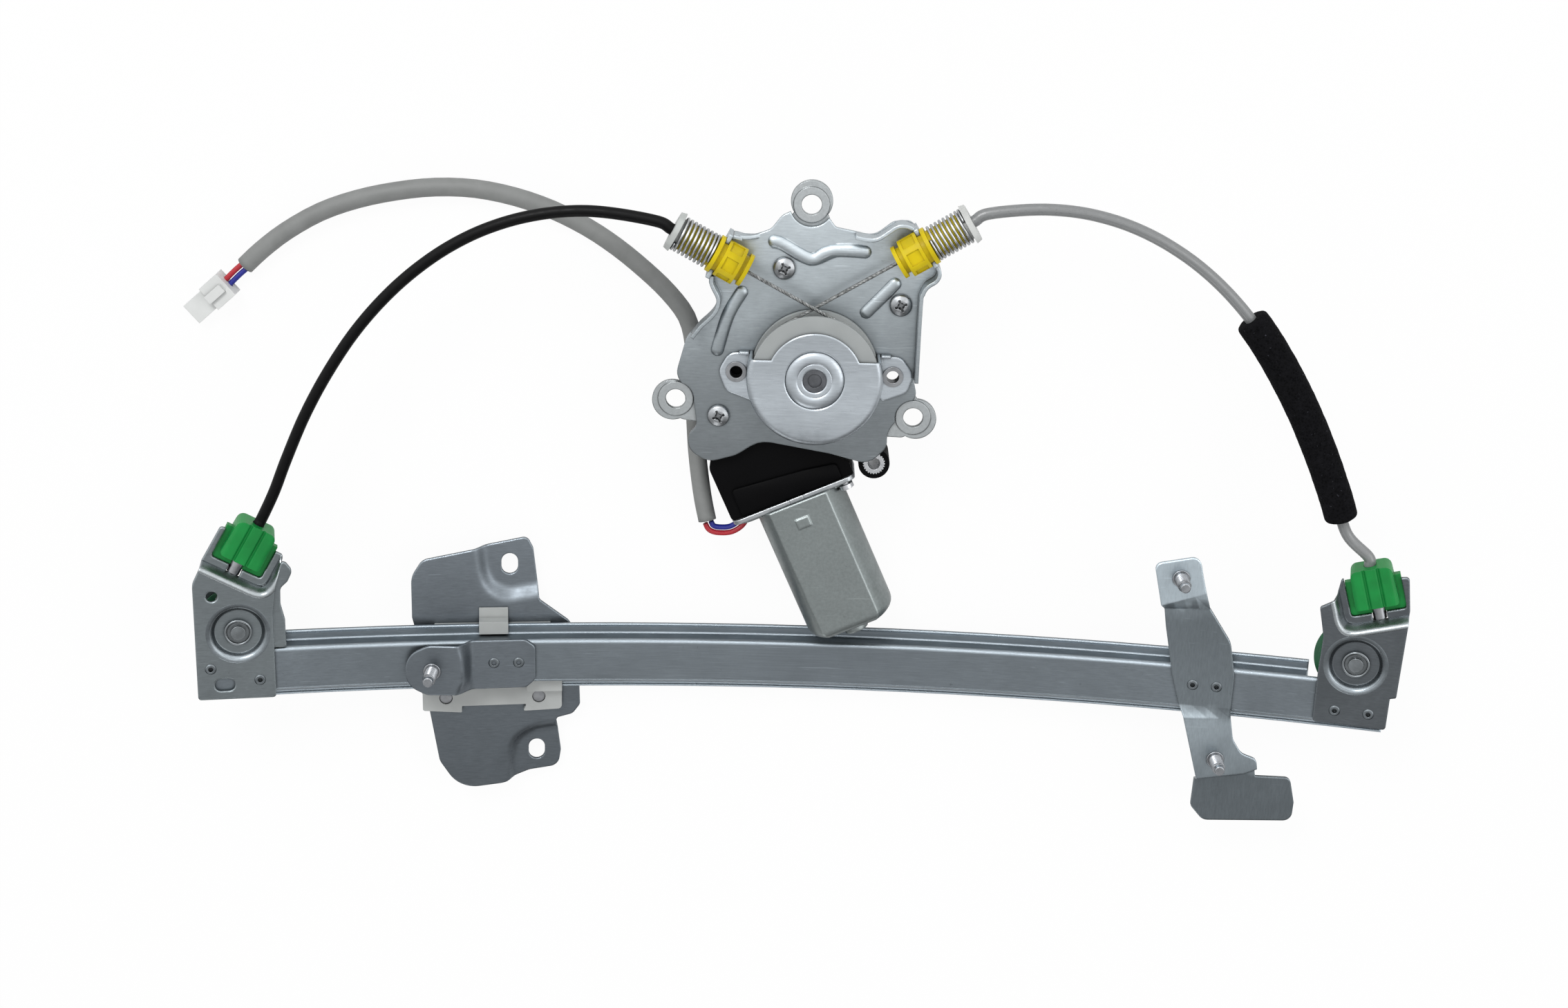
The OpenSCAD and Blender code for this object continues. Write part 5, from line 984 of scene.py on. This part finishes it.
def make_ribs(look):
    """Pressed ribs of the drum plate: round-ended ridges of even width."""
    width, height, sink, steps = 5.5, 1.5, 0.3, 10
    for name, points in RIBS.items():
        path = spread(spline([(x, y, 0) for x, y in points], 8), 0.45)
        total = length_of(path)
        rings, way = [], 0.0
        for i, point in enumerate(path):
            along = heading(path, i)
            side = Vector((-along.y, along.x, 0))
            if i:
                way += (point - path[i - 1]).length
            near = min(way, total - way) / (width / 2)
            fade = sqrt(max(0.02, 1 - (1 - min(near, 1)) ** 2))
            arch = []
            for k in range(steps + 1):
                lift = PLATE_TOP + height * fade * sin(pi * k / steps)
                arch.append(point + side * cos(pi * k / steps) * width / 2 * fade + Vector((0, 0, lift)))
            foot = [point + side * hand * width / 2 * fade + Vector((0, 0, PLATE_TOP - sink))
                    for hand in (-1, 1)]
            rings.append(mm(arch + foot))
        place(lofted(name, rings), "frame", "drum_plate_zinc", look["drum_plate"])


def make_hub_bead(look):
    """Rolled bead of the cover round the shaft's end."""
    bead = revolved("cover_hub_bead", HUB_BEAD, lambda x, y, z: DRUM + Vector((x, y, COVER_FACE + z)))
    place(bead, "frame", "cover_zinc", look["drum_cover"])


def make_brush_box_lid(look):
    """Low raised pad on the brush box, beside the motor flange."""
    loop = rounded(BRUSH_LID)
    rings = [[motor_point(p.x, p.y, z) for p in beyond(loop, inset)]
             for inset, z in ((0, 10.3), (0, 11.8), (-0.4, 12.2))]
    place(lofted("brush_box_lid", rings), "frame", "housing_black", look["gear_housing"])


def make_lift_plate(look):
    """Lift plate with its two lowered pads, bends rounded as a press leaves them."""
    half_w, half_l = SLOT_SIZE[0] / 2, SLOT_SIZE[1] / 2
    holes = []
    for x, y in LIFT_SLOTS:
        corners = [(x - half_w, y - half_l), (x + half_w, y - half_l),
                   (x + half_w, y + half_l), (x - half_w, y + half_l)]
        holes.append(rounded([(a, b, half_w - 0.02) for a, b in corners]))
    for x, y in SLIDER_RIVETS:
        holes.append([Vector((x + r * cos(a), y + r * sin(a))) for r, a in ring(RIVET_HOLE_R, 16)])

    def height(points):
        z = np.full(len(points), LIFT_TOP)
        for outer, inner, corner in PADS:
            outer, inner = spline(outer, 3), spline(inner, 3)
            ends = [Vector(p) for p in corner]
            away, near = gap_to(points, outer), gap_to(points, inner)
            bend = np.where(within(points, outer + ends), away / (away + near + 1e-9), 0)
            z = z - PAD_DROP * ease(np.where(within(points, inner + ends), 1, bend))
        return z

    def place_at(x, y, z):
        return rail_point(CARRIAGE_S, x + LIFT_SHIFT[0], y + LIFT_SHIFT[1], z) * MM
    plate = pressed("pressed_lift_plate", rounded(LIFT_EDGE, 6), holes, height, LIFT_T, place_at)
    place(plate, "carriage", "lift_plate_steel", look["lift_plate"], "lift_plate")


def make_stud_bracket(look):
    """Stud bracket with its rounded joggle between the rail's web and the lobe."""
    turn = STUD_SEAT / RAIL_R
    base = rail_point(STUD_SEAT, 0, 0, SEAT_Z + BRACKET_T)
    starts, rows = zip(*JOGGLE)

    def height(points):
        start = np.interp(points[:, 1], rows[::-1], starts[::-1])
        foot = base.z + (points[:, 0] - base.x) * tan(turn)
        return foot * ease((points[:, 0] - start) / (JOGGLE_END - start))
    bracket = pressed("pressed_stud_bracket", rounded(STUD_EDGE, 6), [], height, BRACKET_T,
                      lambda x, y, z: Vector((x, y, z)) * MM, 0.8)
    place(bracket, "frame", "stud_bracket_steel", look["stud_bracket"], "stud_bracket")


def make_end_forms(look):
    """Rounded pressings of the end brackets: the step down to the guide, the dish and the pin's rim."""
    for side in ("left", "right"):
        s, tilt, run, sign = PULLEY[side]
        a = radians(tilt)
        face = rounded(END_FACE[side])
        rows = []
        for reach, z in BEND:
            row = []
            for start, end in zip(spline(OUT_LINE, 6), spline(IN_LINE, 6)):
                u, v = start + (end - start).normalized() * reach
                row.append(Vector((sign * ((u - PULLEY_R) * cos(a) + (run + v) * sin(a)),
                                   PULLEY_Y + (PULLEY_R - u) * sin(a) + (run + v) * cos(a))))
            rows.append([rail_point(s, p.x, p.y, z) * MM for p in cut_row(row, face, 60)])
        rings = [list(column) for column in zip(*rows)]
        place(lofted(f"{side}_end_step", rings), "frame", "bracket_steel", look["end_bend"])

        def about_pin(x, y, z):
            return rail_point(s, x, PULLEY_Y + y, z)
        dish = revolved(f"{side}_end_dish", DISH, about_pin)
        place(dish, "frame", "bracket_steel", look["end_dish"])
        rim = revolved(f"{side}_pin_rim", PIN_RIM, about_pin)
        place(rim, "frame", "pin_steel", look["pulley_pins"])


def make_flange_bridge(look):
    """Strip that closes the flange's notch over the brush box's edge."""
    rings = [[motor_point(u, n, z) for u, n in BRIDGE] for z in (12.0, 13.3)]
    place(lofted("flange_bridge", rings), "frame", "flange_zinc", look["motor_flange"])


def dress_nodes(look):
    """Every CAD node takes its own material."""
    for name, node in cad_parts.items():
        node.data.materials.clear()
        node.data.materials.append(look[name])


# studio
def make_floor():
    """Pale floor, near white to the camera and still darker where the object's shadow falls."""
    sides = ((-1, -1), (1, -1), (1, 1), (-1, 1))
    corners = [(x * FLOOR_SIZE, y * FLOOR_SIZE, FLOOR_Z) for x, y in sides]
    floor = mesh_piece("floor", corners, [(0, 1, 2, 3)])
    material = bpy.data.materials.new("floor")
    material.use_nodes = True
    nodes = Nodes(material.node_tree)
    nodes.tree.nodes.clear()
    rays = nodes.node("LightPath")
    share = nodes.maths("MULTIPLY", rays.outputs["Is Camera Ray"], FLOOR_WHITE)
    plain = nodes.node("BsdfDiffuse", {"Color": (FLOOR_GREY, FLOOR_GREY, FLOOR_GREY, 1)})
    white = nodes.node("Emission")
    blend = nodes.node("MixShader", {0: share, 1: plain.outputs[0], 2: white.outputs[0]})
    nodes.node("OutputMaterial", {0: blend.outputs[0]})
    floor.data.materials.append(material)


def make_world():
    """White to the camera, a plain even light on the object, and reflections that lean."""
    world = bpy.data.worlds.new("studio")
    world.use_nodes = True
    nodes = Nodes(world.node_tree)
    maths = nodes.maths
    back = nodes.tree.nodes["Background"]
    nodes.feed(back.inputs["Color"], (1, 1, 1, 1))
    rays = nodes.node("LightPath").outputs
    parts = nodes.node("SeparateXYZ", {0: nodes.node("TexCoord").outputs["Generated"]})
    # reflections: brighter towards the head's side, darker towards the rail's side, never black
    lean = maths("MULTIPLY", parts.outputs["Y"], MIRROR_LEAN)
    rise = maths("MULTIPLY", parts.outputs["Z"], MIRROR_RISE)
    slope = maths("ADD", maths("ADD", lean, rise), MIRROR_MIDDLE)
    mirror = maths("MINIMUM", maths("MAXIMUM", slope, MIRROR_LOW), MIRROR_HIGH)
    glossy = rays["Is Glossy Ray"]
    seen = maths("ADD", rays["Is Camera Ray"], rays["Is Transmission Ray"])
    others = maths("SUBTRACT", 1.0, maths("MINIMUM", maths("ADD", seen, glossy), 1.0))
    total = maths("ADD", maths("ADD", seen, maths("MULTIPLY", glossy, mirror)),
                  maths("MULTIPLY", others, AMBIENT))
    nodes.feed(back.inputs["Strength"], total)
    bpy.context.scene.world = world


def make_lights():
    """Soft round lamps aimed at the middle of the object."""
    for name, (at, size, power) in LAMPS.items():
        data = bpy.data.lights.new(name, "AREA")
        data.shape = "DISK"
        data.size = size
        data.energy = power
        light = new_object(name, data)
        light.location = at
        light.rotation_euler = (Vector(LAMP_AIM) - Vector(at)).to_track_quat("-Z", "Y").to_euler()


def main():
    make_camera()
    look = finishes()
    make_harness(look)
    dress_nodes(look)
    make_conduits(look)
    make_springs(look)
    make_ropes(look)
    make_studs(look)
    make_ribs(look)
    make_hub_bead(look)
    make_brush_box_lid(look)
    make_lift_plate(look)
    make_stud_bracket(look)
    make_end_forms(look)
    make_flange_bridge(look)
    make_floor()
    make_world()
    make_lights()
    bpy.context.scene.view_settings.view_transform = "Standard"


main()
